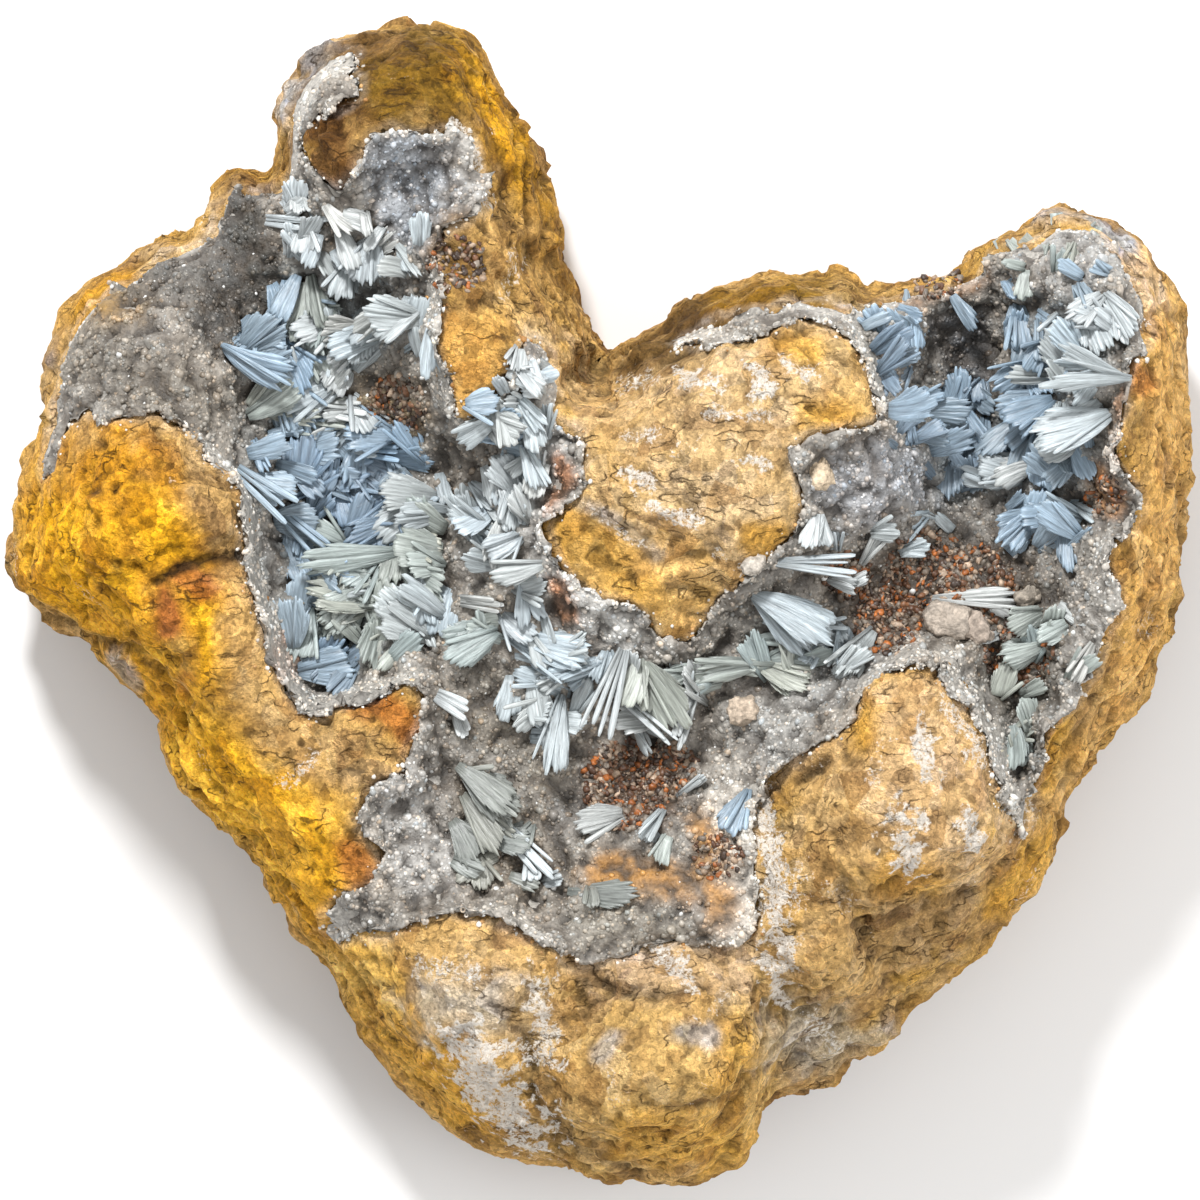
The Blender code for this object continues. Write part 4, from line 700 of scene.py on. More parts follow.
def limonite_material(powder_colour):
    """Limonite: earthy iron oxide laid down from water, so it is matt, breaks in small dull chips, and is
    powdery to the eye, with no shine at all."""
    made, tree = new_material("earthy limonite")
    place = add_node(tree, "TexCoord").outputs["Object"]
    tint = add_node(tree, "Attribute", {"attribute_name": "tint"}).outputs["Color"]
    powder = add_node(tree, "Attribute", {"attribute_name": "powder"}).outputs["Fac"]
    # A fine grain bends every pattern, so that no edge of a chip or crack is straight.
    grain = add_node(tree, "TexNoise", {"Scale": 1 / (0.9 * MM), "Detail": 3.0, "Roughness": 0.75},
                     {"Vector": place})
    bend = add_node(tree, "VectorMath", {"operation": "SCALE", "Scale": 0.9 * MM},
                    {0: grain.outputs["Color"]})
    bent = add_node(tree, "VectorMath", {"operation": "ADD"}, {0: place, 1: bend.outputs[0]})
    colour = tint
    relief = None
    # Chips 6.5, 3 and 1.25 mm across, each a flat face that leans its own way and has its own tone. Some of
    # the larger ones are fresher and paler, others browner.
    for size, low, high, depth, mottle in ((6.5, 0.9, 1.1, 0.5, 0.9), (3.0, 0.84, 1.14, 1.2, 0.7),
                                           (1.25, 0.66, 1.28, 1.2, 0.0)):
        cell = add_node(tree, "TexVoronoi", {"Scale": 1 / (size * MM)}, {"Vector": bent.outputs[0]})
        lean = add_node(tree, "VectorMath", {"operation": "SUBTRACT", 1: (0.5, 0.5, 0.5)},
                        {0: cell.outputs["Color"]})
        away = add_node(tree, "VectorMath", {"operation": "SUBTRACT"},
                        {0: bent.outputs[0], 1: cell.outputs["Position"]})
        slope = add_node(tree, "VectorMath", {"operation": "DOT_PRODUCT"},
                         {0: lean.outputs[0], 1: away.outputs[0]})
        sum_up = add_node(tree, "Math", {"operation": "MULTIPLY_ADD", 1: depth, 2: 0.0},
                          {0: slope.outputs["Value"]})
        if relief is not None:
            tree.links.new(relief, sum_up.inputs[2])
        relief = sum_up.outputs[0]
        tone = add_node(tree, "SeparateColor", links={"Color": cell.outputs["Color"]})
        shade = add_node(tree, "MapRange", {"To Min": low, "To Max": high},
                         {"Value": tone.outputs["Red"]})
        colour = add_node(tree, "Mix", MULTIPLIED,
                          {6: colour, 7: shade.outputs[0]}).outputs[2]
        for channel, stain in (("Green", (1.16, 1.24, 1.5)), ("Blue", (0.66, 0.6, 0.56))):
            share = add_node(tree, "MapRange", {"From Min": 0.6, "From Max": 1.0, "To Max": mottle},
                             {"Value": tone.outputs[channel]})
            colour = add_node(tree, "Mix",
                              {"data_type": "RGBA", "blend_type": "MULTIPLY", 7: (*stain, 1)},
                              {0: share.outputs[0], 6: colour}).outputs[2]
    # Specks of a grain's size, light and dark.
    speck = add_node(tree, "MapRange",
                     {"From Min": 0.3, "From Max": 0.7, "To Min": 0.62, "To Max": 1.34},
                     {"Value": grain.outputs["Fac"]})
    colour = add_node(tree, "Mix", MULTIPLIED,
                      {6: colour, 7: speck.outputs[0]}).outputs[2]
    # Short cracks along the layers, about 0.4 mm wide, where a stretched noise crosses its middle, darkened
    # by painted shade.
    long = add_node(tree, "VectorMath", {"operation": "MULTIPLY", 1: (120.0, 330.0, 330.0)},
                    {0: bent.outputs[0]})
    layer = add_node(tree, "TexNoise", {"Scale": 1.0, "Detail": 1.0}, {"Vector": long.outputs[0]})
    off = add_node(tree, "Math", {"operation": "SUBTRACT", 1: 0.5}, {0: layer.outputs["Fac"]})
    size = add_node(tree, "Math", {"operation": "ABSOLUTE"}, {0: off.outputs[0]})
    line = add_node(tree, "MapRange", {"From Max": 0.028, "To Min": 1.0, "To Max": 0.0},
                    {"Value": size.outputs[0]})
    part = add_node(tree, "TexNoise", {"Scale": 1 / (8 * MM), "Detail": 1.0}, {"Vector": place})
    where = add_node(tree, "MapRange", {"From Min": 0.52, "From Max": 0.60},
                     {"Value": part.outputs["Fac"]})
    crack = add_node(tree, "Math", {"operation": "MULTIPLY"},
                     {0: line.outputs[0], 1: where.outputs[0]})
    dark = add_node(tree, "Math", {"operation": "MULTIPLY", 1: 0.78}, {0: crack.outputs[0]})
    colour = add_node(tree, "Mix", {"data_type": "RGBA", 7: (*linear("#3E2A14"), 1)},
                      {0: dark.outputs[0], 6: colour}).outputs[2]
    # White powder, thin enough that grains of the limonite show through.
    dust = add_node(tree, "Math", {"operation": "MULTIPLY_ADD", 1: 2.2},
                    {0: grain.outputs["Fac"], 2: powder})
    dusted = add_node(tree, "MapRange",
                      {"From Min": 1.62, "From Max": 1.95, "To Max": 0.9}, {"Value": dust.outputs[0]})
    colour = add_node(tree, "Mix", {"data_type": "RGBA", 7: (*powder_colour, 1)},
                      {0: dusted.outputs[0], 6: colour}).outputs[2]
    grit = add_node(tree, "Math", {"operation": "MULTIPLY_ADD", 1: 1.4 * MM},
                    {0: grain.outputs["Fac"], 2: relief})
    cut = add_node(tree, "Math", {"operation": "MULTIPLY_ADD", 1: -0.7 * MM},
                   {0: crack.outputs[0], 2: grit.outputs[0]})
    bump = add_node(tree, "Bump", {"Strength": 1.0, "Distance": 1.0}, {"Height": cut.outputs[0]})
    shader = add_node(tree, "BsdfPrincipled", {"Roughness": 0.92, "Specular IOR Level": 0.15},
                      {"Base Color": colour, "Normal": bump.outputs[0]})
    add_node(tree, "OutputMaterial", links={"Surface": shader.outputs["BSDF"]})
    return made


def crystal_material(name, place, noise_settings, tones, relief, gloss):
    """Tinted crystals whose tone and relief follow one noise. The place is the output that the noise reads,
    as its node's kind, the node's settings and the output's name."""
    made, tree = new_material(name)
    tint = add_node(tree, "Attribute", {"attribute_name": "tint"}).outputs["Color"]
    kind, settings, output = place
    grain = add_node(tree, "TexNoise", noise_settings,
                     {"Vector": add_node(tree, kind, settings).outputs[output]})
    tone = add_node(tree, "MapRange", dict(zip(("From Min", "From Max", "To Min", "To Max"), tones)),
                    {"Value": grain.outputs["Fac"]})
    colour = add_node(tree, "Mix", MULTIPLIED, {6: tint, 7: tone.outputs["Result"]})
    bump = add_node(tree, "Bump", relief, {"Height": grain.outputs["Fac"]})
    shader = add_node(tree, "BsdfPrincipled", gloss,
                      {"Base Color": colour.outputs[2], "Normal": bump.outputs["Normal"]})
    add_node(tree, "OutputMaterial", links={"Surface": shader.outputs["BSDF"]})
    return made


def quartz_material(name, roughness, grain_size, relief):
    """Drusy quartz: glassy points with clean faces, which glint where one faces the lamp. Sizes are in
    millimetres."""
    return crystal_material(name, ("TexCoord", None, "Object"),
                            {"Scale": 1 / (grain_size * MM), "Detail": 4.0}, (0.35, 0.65, 0.7, 1.25),
                            {"Strength": 1.0, "Distance": relief * MM},
                            {"Roughness": roughness, "IOR": 1.54})


def barite_material():
    """Barite: thin tabular blades with perfect cleavage, so they are pearly, with fine lines along them."""
    return crystal_material("pale blue barite", ("Attribute", {"attribute_name": "grain"}, "Vector"),
                            {"Scale": 1.0, "Detail": 3.0, "Roughness": 0.6}, (0.3, 0.7, 0.6, 1.38),
                            {"Strength": 0.8, "Distance": 0.3 * MM},
                            {"Roughness": 0.4, "IOR": 1.64, "Subsurface Weight": 0.2,
                             "Subsurface Radius": (1.0, 1.0, 1.0), "Subsurface Scale": 1.6 * MM})


def mesh_of(name, points, faces, tints, material, grain=None):
    """A piece from points, triangles and tints."""
    mesh = bpy.data.meshes.new(name)
    mesh.vertices.add(len(points))
    mesh.vertices.foreach_set("co", points.astype(np.float32).ravel())
    mesh.loops.add(faces.size)
    mesh.loops.foreach_set("vertex_index", faces.astype(np.int32).ravel())
    mesh.polygons.add(len(faces))
    mesh.polygons.foreach_set("loop_start", np.arange(0, faces.size, 3, dtype=np.int32))
    mesh.update(calc_edges=True)
    put_tints(mesh, tints)
    if grain is not None:
        layer = mesh.attributes.new("grain", "FLOAT_VECTOR", "POINT")
        layer.data.foreach_set("vector", grain.astype(np.float32).ravel())
    mesh.materials.append(material)
    piece = bpy.data.objects.new(name, mesh)
    bpy.context.scene.collection.objects.link(piece)
    return piece


def copies(name, shape, moves, places, tints, material, shade=None):
    """One mesh of many copies of a shape, each turned and scaled by its 3x3 move, then placed and tinted."""
    corners, faces = shape
    points = np.einsum("nij,vj->nvi", moves, corners) + places[:, None, :]
    count = len(corners)
    index = faces[None, :, :] + count * np.arange(len(moves))[:, None, None]
    shade = np.ones(count) if shade is None else shade
    own = corners * (np.linalg.norm(moves, axis=1) / MM)[:, None, :] * np.array((0.2, 3.6, 1.2))
    own += (np.arange(len(moves)) * 3.7)[:, None, None]
    return mesh_of(name, points.reshape(-1, 3), index.reshape(-1, 3),
                   (tints[:, None, :] * shade[None, :, None]).reshape(-1, 3), material, own.reshape(-1, 3))


def shape_of(piece):
    """The vertices and triangles of a piece modelled once, which is then removed."""
    work_on(piece)
    bpy.ops.object.mode_set(mode="EDIT")
    bpy.ops.mesh.select_all(action="SELECT")
    bpy.ops.mesh.quads_convert_to_tris()
    bpy.ops.mesh.normals_make_consistent(inside=False)
    bpy.ops.object.mode_set(mode="OBJECT")
    shape = (points_of(piece.data), faces_of(piece.data))
    bpy.data.objects.remove(piece)
    return shape


def blade_shape():
    """One barite blade: a thin tabular crystal lying along x from 0 to 1, widest near its free end, with
    bevelled edges and a blunt tip."""
    bpy.ops.object.select_all(action="DESELECT")
    bpy.ops.mesh.primitive_cube_add(size=1.0, location=(0, 0, 0))
    piece = bpy.context.active_object
    bpy.ops.object.mode_set(mode="EDIT")
    bpy.ops.mesh.select_all(action="SELECT")
    bpy.ops.transform.translate(value=(0.5, 0, 0))
    for place in BLADE_ALONG[1:-1]:
        bpy.ops.mesh.select_all(action="SELECT")
        bpy.ops.mesh.bisect(plane_co=(place, 0, 0), plane_no=(1, 0, 0))
    bpy.ops.object.mode_set(mode="OBJECT")
    for vertex in piece.data.vertices:
        x, y, z = vertex.co
        vertex.co.y = y * np.interp(x, BLADE_ALONG, BLADE_WIDE) * (0.8 if z > 0 else 1.0)
        vertex.co.z = z * np.interp(x, BLADE_ALONG, BLADE_THICK)
    return shape_of(piece)


def quartz_shape():
    """One quartz point: the six-sided cap of a crystal that the crust buries up to its shoulders."""
    bpy.ops.object.select_all(action="DESELECT")
    bpy.ops.mesh.primitive_cone_add(vertices=6, radius1=1.0, radius2=0.0, depth=1.3, end_fill_type="NOTHING",
                                    location=(0, 0, 0.35))
    return shape_of(bpy.context.active_object)


def chip_shape():
    """One grain of gravel: a chipped lump with a few flat faces."""
    bpy.ops.object.select_all(action="DESELECT")
    bpy.ops.mesh.primitive_ico_sphere_add(subdivisions=1, radius=1.0)
    piece = bpy.context.active_object
    for vertex in piece.data.vertices:
        vertex.co *= 1 + 0.5 * noise.noise(vertex.co * 1.7)
    return shape_of(piece)


def spun(rng, ups, lean):
    """3x3 turns that carry z to each up, leaned at random by up to a share and spun about it."""
    ups = ups + rng.normal(0, lean, ups.shape)
    ups /= np.linalg.norm(ups, axis=1)[:, None]
    sides = np.cross(ups, rng.normal(0, 1, ups.shape))
    sides /= np.linalg.norm(sides, axis=1)[:, None]
    return np.stack([sides, np.cross(ups, sides), ups], axis=2)


def scattered(rng, mesh, count, share):
    """Random places on a mesh, as many to each part as its area times its share, with normals and tints."""
    points = points_of(mesh)
    faces = faces_of(mesh)
    corners = points[faces]
    across = np.cross(corners[:, 1] - corners[:, 0], corners[:, 2] - corners[:, 0])
    area = np.linalg.norm(across, axis=1)
    normals = across / np.maximum(area, 1e-12)[:, None]
    weight = area * share[faces].mean(axis=1)
    picked = rng.choice(len(faces), count, p=weight / weight.sum())
    mix = rng.dirichlet((1, 1, 1), count)
    places = np.einsum("ni,nij->nj", mix, corners[picked])
    tints = rows_of(mesh.color_attributes["tint"].data, "color", 4)[:, :3][faces[picked]].mean(axis=1)
    return places, normals[picked], tints


def stone_relief(wish, points):
    """Height of the limonite's relief: lumps, broken faces, ledges, grit, and grooves wandering or drawn."""
    lift = wish.lumps * field(points, 17, 1, 2)
    lift += MM * (0.26 * facets(points, 13, 2) + 0.42 * facets(points, 6, 3)
                  + 0.22 * facets(points, 2.8, 4))
    level = (0.8 * points[:, 2] + 0.35 * points[:, 1]) / (8 * MM) + 1.3 * field(points, 24, 5, 2)
    step = level - np.floor(level)
    ledge = np.where(step < 0.85, step / 0.85, (1 - step) / 0.15) - 0.5
    lift += wish.ledges * ledge * smoothstep(0.2 + 2.2 * field(points, 26, 6))
    lift += wish.grit * field(points, 2.4, 7, 3)
    groove = smoothstep((0.05 - np.abs(field(points, 21, 8, 3))) / 0.05)
    groove *= smoothstep(-0.1 + 2.4 * field(points, 30, 9))
    lift -= 1.3 * MM * groove
    ragged = field(points, 5.0, 15, 2)
    # Each stroke of painted crevice shade is also cut in as a groove.
    for colour, strength, width, line in STONE_PAINT:
        if colour == CREVICE_SHADE:
            lift -= 2.2 * MM * cover_of(points[:, :2] / MM, 0.6 * ragged, strength, 0.9 * width, line)
    return lift


def stone_colours(wish, mesh, points, top, bare, near_crust):
    """Colours of the limonite: its own mottling, the strokes on its top, painted shade in its dips and a
    little painted light on its rises.
    """
    hollow = sunken(mesh, points, 5)
    wide = sunken(mesh, points, 30)
    base = np.ones((len(points), 3)) * np.array(wish.ochre)
    base = mottled(base, points, TAN, 0.8, 0.5, 1.2, 20, 9)
    base = mottled(base, points, "#CB9A36", 0.6, -0.1, 1.6, 26, 12)
    base = mottled(base, points, wish.brown, 0.6, -0.25, 1.6, 15, 10)
    low = smoothstep((46 * MM - points[:, 2]) / (40 * MM))
    base = mixed(base, "#9A6A2A", 0.5 * low)
    base = mottled(base, points, "#6B4822", 0.65 * low, 0.1, 1.8, 19, 16)
    base = mottled(base, points, "#C9A468", 0.7 * low, -0.2, 1.8, 23, 17)
    colours = painted(points, base, STONE_PAINT, 11)
    colours = base + top[:, None] * (colours - base)
    colours = mixed(colours, "#CFC6B8", 0.42 * smoothstep(near_crust * 2.4 - 0.25) * bare)
    # Painted shade in the dips, deeper in the narrow ones, and a little painted light on the rises.
    colours *= 1.3 * (1 - 0.44 * smoothstep(hollow * 2.6 - 0.15))[:, None]
    colours *= (1 - 0.28 * smoothstep(wide * 0.8 - 0.1))[:, None]
    colours *= (1 + 0.09 * smoothstep(-wide * 0.9))[:, None]
    return colours


def stone_powder(points, top, near_crust):
    """How much white powder lies on each part of the limonite."""
    ragged = field(points, 2.8, 13, 4)
    powder = 0.28 * smoothstep(near_crust * 3 - 0.4)
    for strength, width, line in POWDER:
        cover = cover_of(points[:, :2] / MM, 2.2 * ragged, 0.95 * strength, 1.15 * width, line)
        powder = np.maximum(powder, cover * top)
    return np.maximum(powder, 0.45 * smoothstep(1.9 * field(points, 16, 14, 3) - 0.75))


class BARITE_OT_stone(bpy.types.Operator):
    """Finishes the limonite from a copy of its node"""

    bl_idname = "barite.stone"
    bl_label = "Limonite"

    def execute(self, context):
        wish = context.scene.barite_stone
        piece = copy_of("limonite_matrix", "limonite")
        mesh = piece.data
        crust = tree_of(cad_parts["quartz_crust"].data)
        refine(piece, lambda middles: np.where(middles[:, 2] < REST_BAND, 1.0, 3.5 * MM))
        points = points_of(mesh)
        free = (points[:, 2] > 0.3 * MM).astype(float)
        put_points(mesh, smoothed(mesh, points, 0.5, 4, free))
        refine(piece, lambda middles: np.where(middles[:, 2] < REST_BAND, 1.0, wish.edge))
        points = points_of(mesh)
        free = smoothstep(points[:, 2] / (5 * MM))
        points = smoothed(mesh, points, 0.5, 3, free)
        put_points(mesh, points)
        normals = normals_of(mesh)
        covered = np.zeros(len(points))
        for index, (x, y, z) in enumerate(points.tolist()):
            if z > 15 * MM:
                hit = crust.ray_cast((x, y, z - 1.5 * MM), (0, 0, 1), 9 * MM)
                covered[index] = hit[0] is not None
        bare = smoothed(mesh, 1 - covered, 0.5, 2)
        near_crust = smoothed(mesh, covered, 0.6, 14)
        lift = stone_relief(wish, points) * free * bare - SUNK * (1 - bare)
        points = points + normals * lift[:, None]
        points[:, 2] = np.maximum(points[:, 2], 0)
        points = smoothed(mesh, points, 0.25, 1, free)
        put_points(mesh, points)
        # What faces up near the top is as in the photograph, and the flanks are plainer.
        top = smoothstep((points[:, 2] - 22 * MM) / (16 * MM))
        top *= smoothstep(4.0 * smoothed(mesh, normals_of(mesh)[:, 2], 0.6, 12))
        put_tints(mesh, stone_colours(wish, mesh, points, top, bare, near_crust))
        layer = mesh.attributes.new("powder", "FLOAT", "POINT")
        powder = stone_powder(points, top, near_crust)
        layer.data.foreach_set("value", powder.astype(np.float32))
        mesh.materials.append(limonite_material(wish.powder))
        work_on(piece)
        bpy.ops.object.shade_smooth()
        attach(piece, "root")
        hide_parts("limonite_matrix")
        return {"FINISHED"}


def druse_on(rng, mesh, wish, share):
    """The quartz points and the rounded beads that stand on the crust, each to its part of the surface."""
    druse = []
    for name, shape, count, middle, least, most, label in (
        ("quartz_points", quartz_shape(), wish.points, wish.point, 0.7, 1.5, "quartz points"),
        ("quartz_beads", chip_shape(), wish.beads, wish.bead, 0.5, 0.8, "botryoidal quartz"),
    ):
        places, ups, tints = scattered(rng, mesh, count, share)
        size = middle * rng.lognormal(0.0, 0.28, len(places))
        moves = spun(rng, ups, 0.22) * size[:, None, None]
        moves[:, :, 2] *= rng.uniform(least, most, len(places))[:, None]
        shine = 1.1 * rng.lognormal(0.0, 0.17, len(places))[:, None]
        shine = shine * (1 + rng.normal(0, 0.05, (len(places), 1)) * (1, 0, -1))
        tints = np.clip(tints * shine, 0, 0.88)
        tints[rng.random(len(places)) < 0.012] = np.array(linear("#DEDEDB"))
        druse.append(copies(name, shape, moves, places, tints, quartz_material(label, 0.34, 1.4, 0.1)))
    return druse


def border_grains(rng, crust):
    """Loose grains that whiten the limonite beside the crust."""
    base = bpy.data.objects["limonite"].data
    edge = tree_of(crust)
    beside = np.zeros(len(base.vertices))
    for index, (x, y, z) in enumerate(points_of(base).tolist()):
        if z > 20 * MM:
            hit = edge.find_nearest((x, y, z), 2.6 * MM)
            if hit[0] is not None and hit[0].z < z + 0.8 * MM:
                beside[index] = (1 - hit[3] / (2.6 * MM)) ** 2
    places, ups, _ = scattered(rng, base, 6000, beside)
    size = rng.lognormal(math.log(0.32), 0.4, len(places)) * MM
    moves = spun(rng, ups, 0.3) * size[:, None, None]
    kinds = np.array([linear(colour) for colour in BORDER_COLOURS])
    tints = kinds[rng.choice(len(kinds), len(places), p=tuple(BORDER_COLOURS.values()))]
    return copies("border_grains", chip_shape(), moves, places, tints,
                  quartz_material("white quartz grains", 0.6, 0.8, 0.1))


class BARITE_OT_crust(bpy.types.Operator):
    """Finishes the drusy quartz crust from a copy of its node"""

    bl_idname = "barite.crust"
    bl_label = "Quartz crust"

    def execute(self, context):
        wish = context.scene.barite_crust
        piece = copy_of("quartz_crust", "quartz_crust_surface")
        mesh = piece.data
        stone = tree_of(bpy.data.objects["limonite"].data)
        refine(piece, lambda middles: np.full(len(middles), 3.5 * MM))
        put_points(mesh, smoothed(mesh, points_of(mesh), 0.5, 2))
        refine(piece, lambda middles: np.full(len(middles), wish.edge))
        points = smoothed(mesh, points_of(mesh), 0.5, 2)
        put_points(mesh, points)
        normals = normals_of(mesh)
        up = smoothstep(normals[:, 2] * 2 + 0.3)
        rim = smoothed(mesh, (normals[:, 2] < 0.35).astype(float), 0.6, 8)
        coarse = knobs(points, 5.5, 21)
        fine = knobs(points, 2.6, 22)
        lift = MM * (2.0 * (coarse - 0.5) + 1.4 * (fine - 0.5) + 0.9 * field(points, 10, 23, 2))
        points = points + normals * (lift * up)[:, None]
        sway = np.column_stack([field(points, 5, 24, 3), field(points, 5, 25, 3), np.zeros(len(points))])
        edge = np.clip(rim * 2.2, 0, 1)
        points += 2.2 * MM * sway * edge[:, None]
        # Where the flank is steep, the crust's edge lies down on it.
        for index in np.flatnonzero(edge > 0.05):
            near, facing, _, gap = stone.find_nearest(points[index])
            if 0.8 * MM < gap < 5 * MM and facing.dot(Vector(points[index]) - near) > 0:
                share = edge[index] * smoothstep(3 * (0.75 - facing.z))
                points[index] += share * (np.array(near + 0.5 * MM * facing) - points[index])
        put_points(mesh, points)
        hollow = sunken(mesh, points, 6)
        base = np.ones((len(points), 3)) * np.array(wish.grey)
        base = mottled(base, points, "#A89F93", 1.0, 0.3, 1.0, 22, 26)
        base = mottled(base, points, "#84807D", 0.7, -0.1, 1.4, 13, 27)
        colours = painted(points, base, CRUST_PAINT, 28)
        # Painted shade in the creases between the knobs.
        colours = mixed(colours, "#574B3E", 0.75 * (1 - smoothstep(0.6 * coarse + 1.0 * fine - 0.3)))
        pale = smoothstep(rim * 2.6 - 0.5 + 0.9 * field(points, 6, 29, 2))
        colours = mixed(colours, wish.white, 0.6 * pale)
        put_tints(mesh, colours)
        points_share = up * smoothstep(normals[:, 2] * 3)
        points_share *= 0.12 + smoothstep(0.7 * coarse + 1.1 * fine - 0.35)
        points_share *= 1 - 0.9 * smoothstep((colours[:, 0] / colours[:, 2] - 2.0) / 2.5)
        rng = np.random.default_rng(3)
        druse = druse_on(rng, mesh, wish, points_share)
        # Between the points the crust lies in their shade.
        put_tints(mesh, colours * (0.78 - 0.42 * smoothstep(hollow * 1.4))[:, None])
        mesh.materials.append(quartz_material("drusy quartz crust", 0.55, 0.9, 0.6))
        work_on(piece)
        bpy.ops.object.shade_smooth()
        for each in (piece, *druse):
            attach(each, "root")
            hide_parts("quartz_crust")
        grains = border_grains(rng, mesh)
        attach(grains, "root")
        return {"FINISHED"}


class BARITE_OT_gravel(bpy.types.Operator):
    """Strews the red-brown grains over the floor of the hollows"""

    bl_idname = "barite.gravel"
    bl_label = "Gravel"

    def execute(self, context):
        trees = ground()
        rng = np.random.default_rng(8)
        kinds = np.array([linear(colour) for colour in GRAVEL_COLOURS])
        places = []
        for x, y, reach, count in GRAVEL:
            for _ in range(count):
                far = reach * math.sqrt(rng.random())
                turn = rng.uniform(0, 2 * math.pi)
                spot = (x + far * math.cos(turn), y + far * math.sin(turn))
                found = standing(trees, *spot)
                if found:
                    places.append((spot[0] * MM, spot[1] * MM, found[0]))
        places = np.array(places)
        size = context.scene.barite_gravel.grain * np.minimum(rng.lognormal(0.0, 0.42, len(places)), 1.8)
        moves = spun(rng, rng.normal(0, 1, (len(places), 3)), 0.1) * size[:, None, None]
        moves[:, :, 0] *= rng.uniform(0.8, 1.7, len(places))[:, None]
        moves[:, :, 2] *= rng.uniform(0.35, 0.9, len(places))[:, None]
        tints = kinds[rng.integers(0, len(kinds), len(places))] * rng.uniform(0.7, 1.3, (len(places), 1))
        piece = copies("gravel", chip_shape(), moves, places, tints,
                       quartz_material("iron-stained quartz grains", 0.45, 0.8, 0.2))
        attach(piece, "root")
        return {"FINISHED"}


class BARITE_OT_blocks(bpy.types.Operator):
    """Sets the few larger broken pieces that lie in the hollows"""

    bl_idname = "barite.blocks"
    bl_label = "Blocks"

    def execute(self, context):
        trees = ground()
        blocks = []
        for index, (x, y, turn, size, colour) in enumerate(BLOCKS):
            bpy.ops.object.select_all(action="DESELECT")
            bpy.ops.mesh.primitive_cube_add(size=1.0)
            piece = context.active_object
            bpy.ops.object.mode_set(mode="EDIT")
            bpy.ops.mesh.subdivide(number_cuts=11)
            bpy.ops.object.mode_set(mode="OBJECT")
            points = points_of(piece.data)
            sphere = points / np.maximum(np.linalg.norm(points, axis=1), 1e-9)[:, None] * 0.62
            points = (0.45 * points + 0.55 * sphere) * np.array(size) * MM
            away = points / np.linalg.norm(points, axis=1)[:, None]
            rough = 0.8 * field(points, 2.6, 60 + index, 3) + 0.7 * facets(points, 2.0, 70 + index)
            points += away * (rough * MM)[:, None]
            spin = np.array(Matrix.Rotation(math.radians(turn), 3, "Z"))
            stand = standing(trees, x, y)
            points = points @ spin.T + np.array((x * MM, y * MM, stand[0] + 0.22 * size[2] * MM))
            put_points(piece.data, points)
            shade = 1 + 0.5 * field(points, 1.4, 80, 3)
            put_tints(piece.data, np.array(linear(colour)) * shade[:, None])
            blocks.append(piece)
        for piece in blocks:
            piece.select_set(True)
        context.view_layer.objects.active = blocks[0]
        bpy.ops.object.join()
        piece = context.active_object
        piece.name = "blocks"
        piece.data.materials.append(quartz_material("broken crust", 0.8, 0.7, 0.4))
        bpy.ops.object.shade_smooth()
        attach(piece, "root")
        return {"FINISHED"}


class BARITE_OT_sprays(bpy.types.Operator):
    """Grows each group of barite sprays in place of its node"""

    bl_idname = "barite.sprays"
    bl_label = "Barite sprays"

    def execute(self, context):
        wish = context.scene.barite_sprays
        trees = ground()
        surface = barite_material()
        shape = blade_shape()
        # Painted light and shade on a blade: lighter towards its free end, and dark below, where it lies in
        # the shade of its neighbours.
        shade = (0.75 + 0.35 * shape[0][:, 0]) * np.where(shape[0][:, 2] > 0, 1.0, 0.55)
        for index, (node, sprays) in enumerate(SPRAYS.items()):
            rng = np.random.default_rng(50 + index)
            fans, blades = [], []
            for spray in [(*spray, 3, 0.6) for spray in sprays] + filling(rng, trees, node, sprays):
                grow(rng, trees, wish, fans, blades, *spray)
            pieces = []
            if blades:
                pieces.append(copies(node + "_blades", shape, *(np.array(part) for part in zip(*blades)),
                                     surface, shade))
            if fans:
                pieces.append(joined(node + "_fans", fans, surface))
            for piece in pieces:
                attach(piece, "root")
                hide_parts(node)
        return {"FINISHED"}


def inside(x, y, loop):
    """Whether a place lies inside a closed line of points."""
    found = False
    for (x0, y0), (x1, y1) in zip(loop, loop[1:] + loop[:1]):
        if (y0 > y) != (y1 > y) and x < x0 + (y - y0) / (y1 - y0) * (x1 - x0):
            found = not found
    return found


def filling(rng, trees, node, sprays):
    """Low sprays that close the gaps of a node's mat, each like its nearest spray in heading and tint. A
    spray whose tip would leave the mat is turned round, and one whose tip stands on nothing is left out."""
    loop, apart, longest = MATS.get(node, ([], 1, 1))
    made = []
    for _ in range(30 * len(loop)):
        x, y = (rng.uniform(min(side), max(side)) for side in zip(*loop))
        if not inside(x, y, loop) or any(math.hypot(x - at[0], y - at[1]) < apart for at in made):
            continue
        if standing(trees, x, y) is None:
            continue
        near = min(sprays, key=lambda at: math.hypot(
            x - at[0] - 0.5 * at[3] * math.cos(math.radians(at[2])),
            y - at[1] - 0.5 * at[3] * math.sin(math.radians(at[2]))))
        heading = near[2] + rng.normal(0, 40)
        length = longest * rng.uniform(0.6, 1.05)
        turn = math.radians(heading)
        tip = (x + 0.7 * length * math.cos(turn), y + 0.7 * length * math.sin(turn))
        if not inside(*tip, loop):
            heading += 180
            tip = (2 * x - tip[0], 2 * y - tip[1])
        if standing(trees, *tip) is None:
            continue
        made.append((x, y, heading, length, rng.uniform(35, 85), near[5], 1, 0.4))
    return made


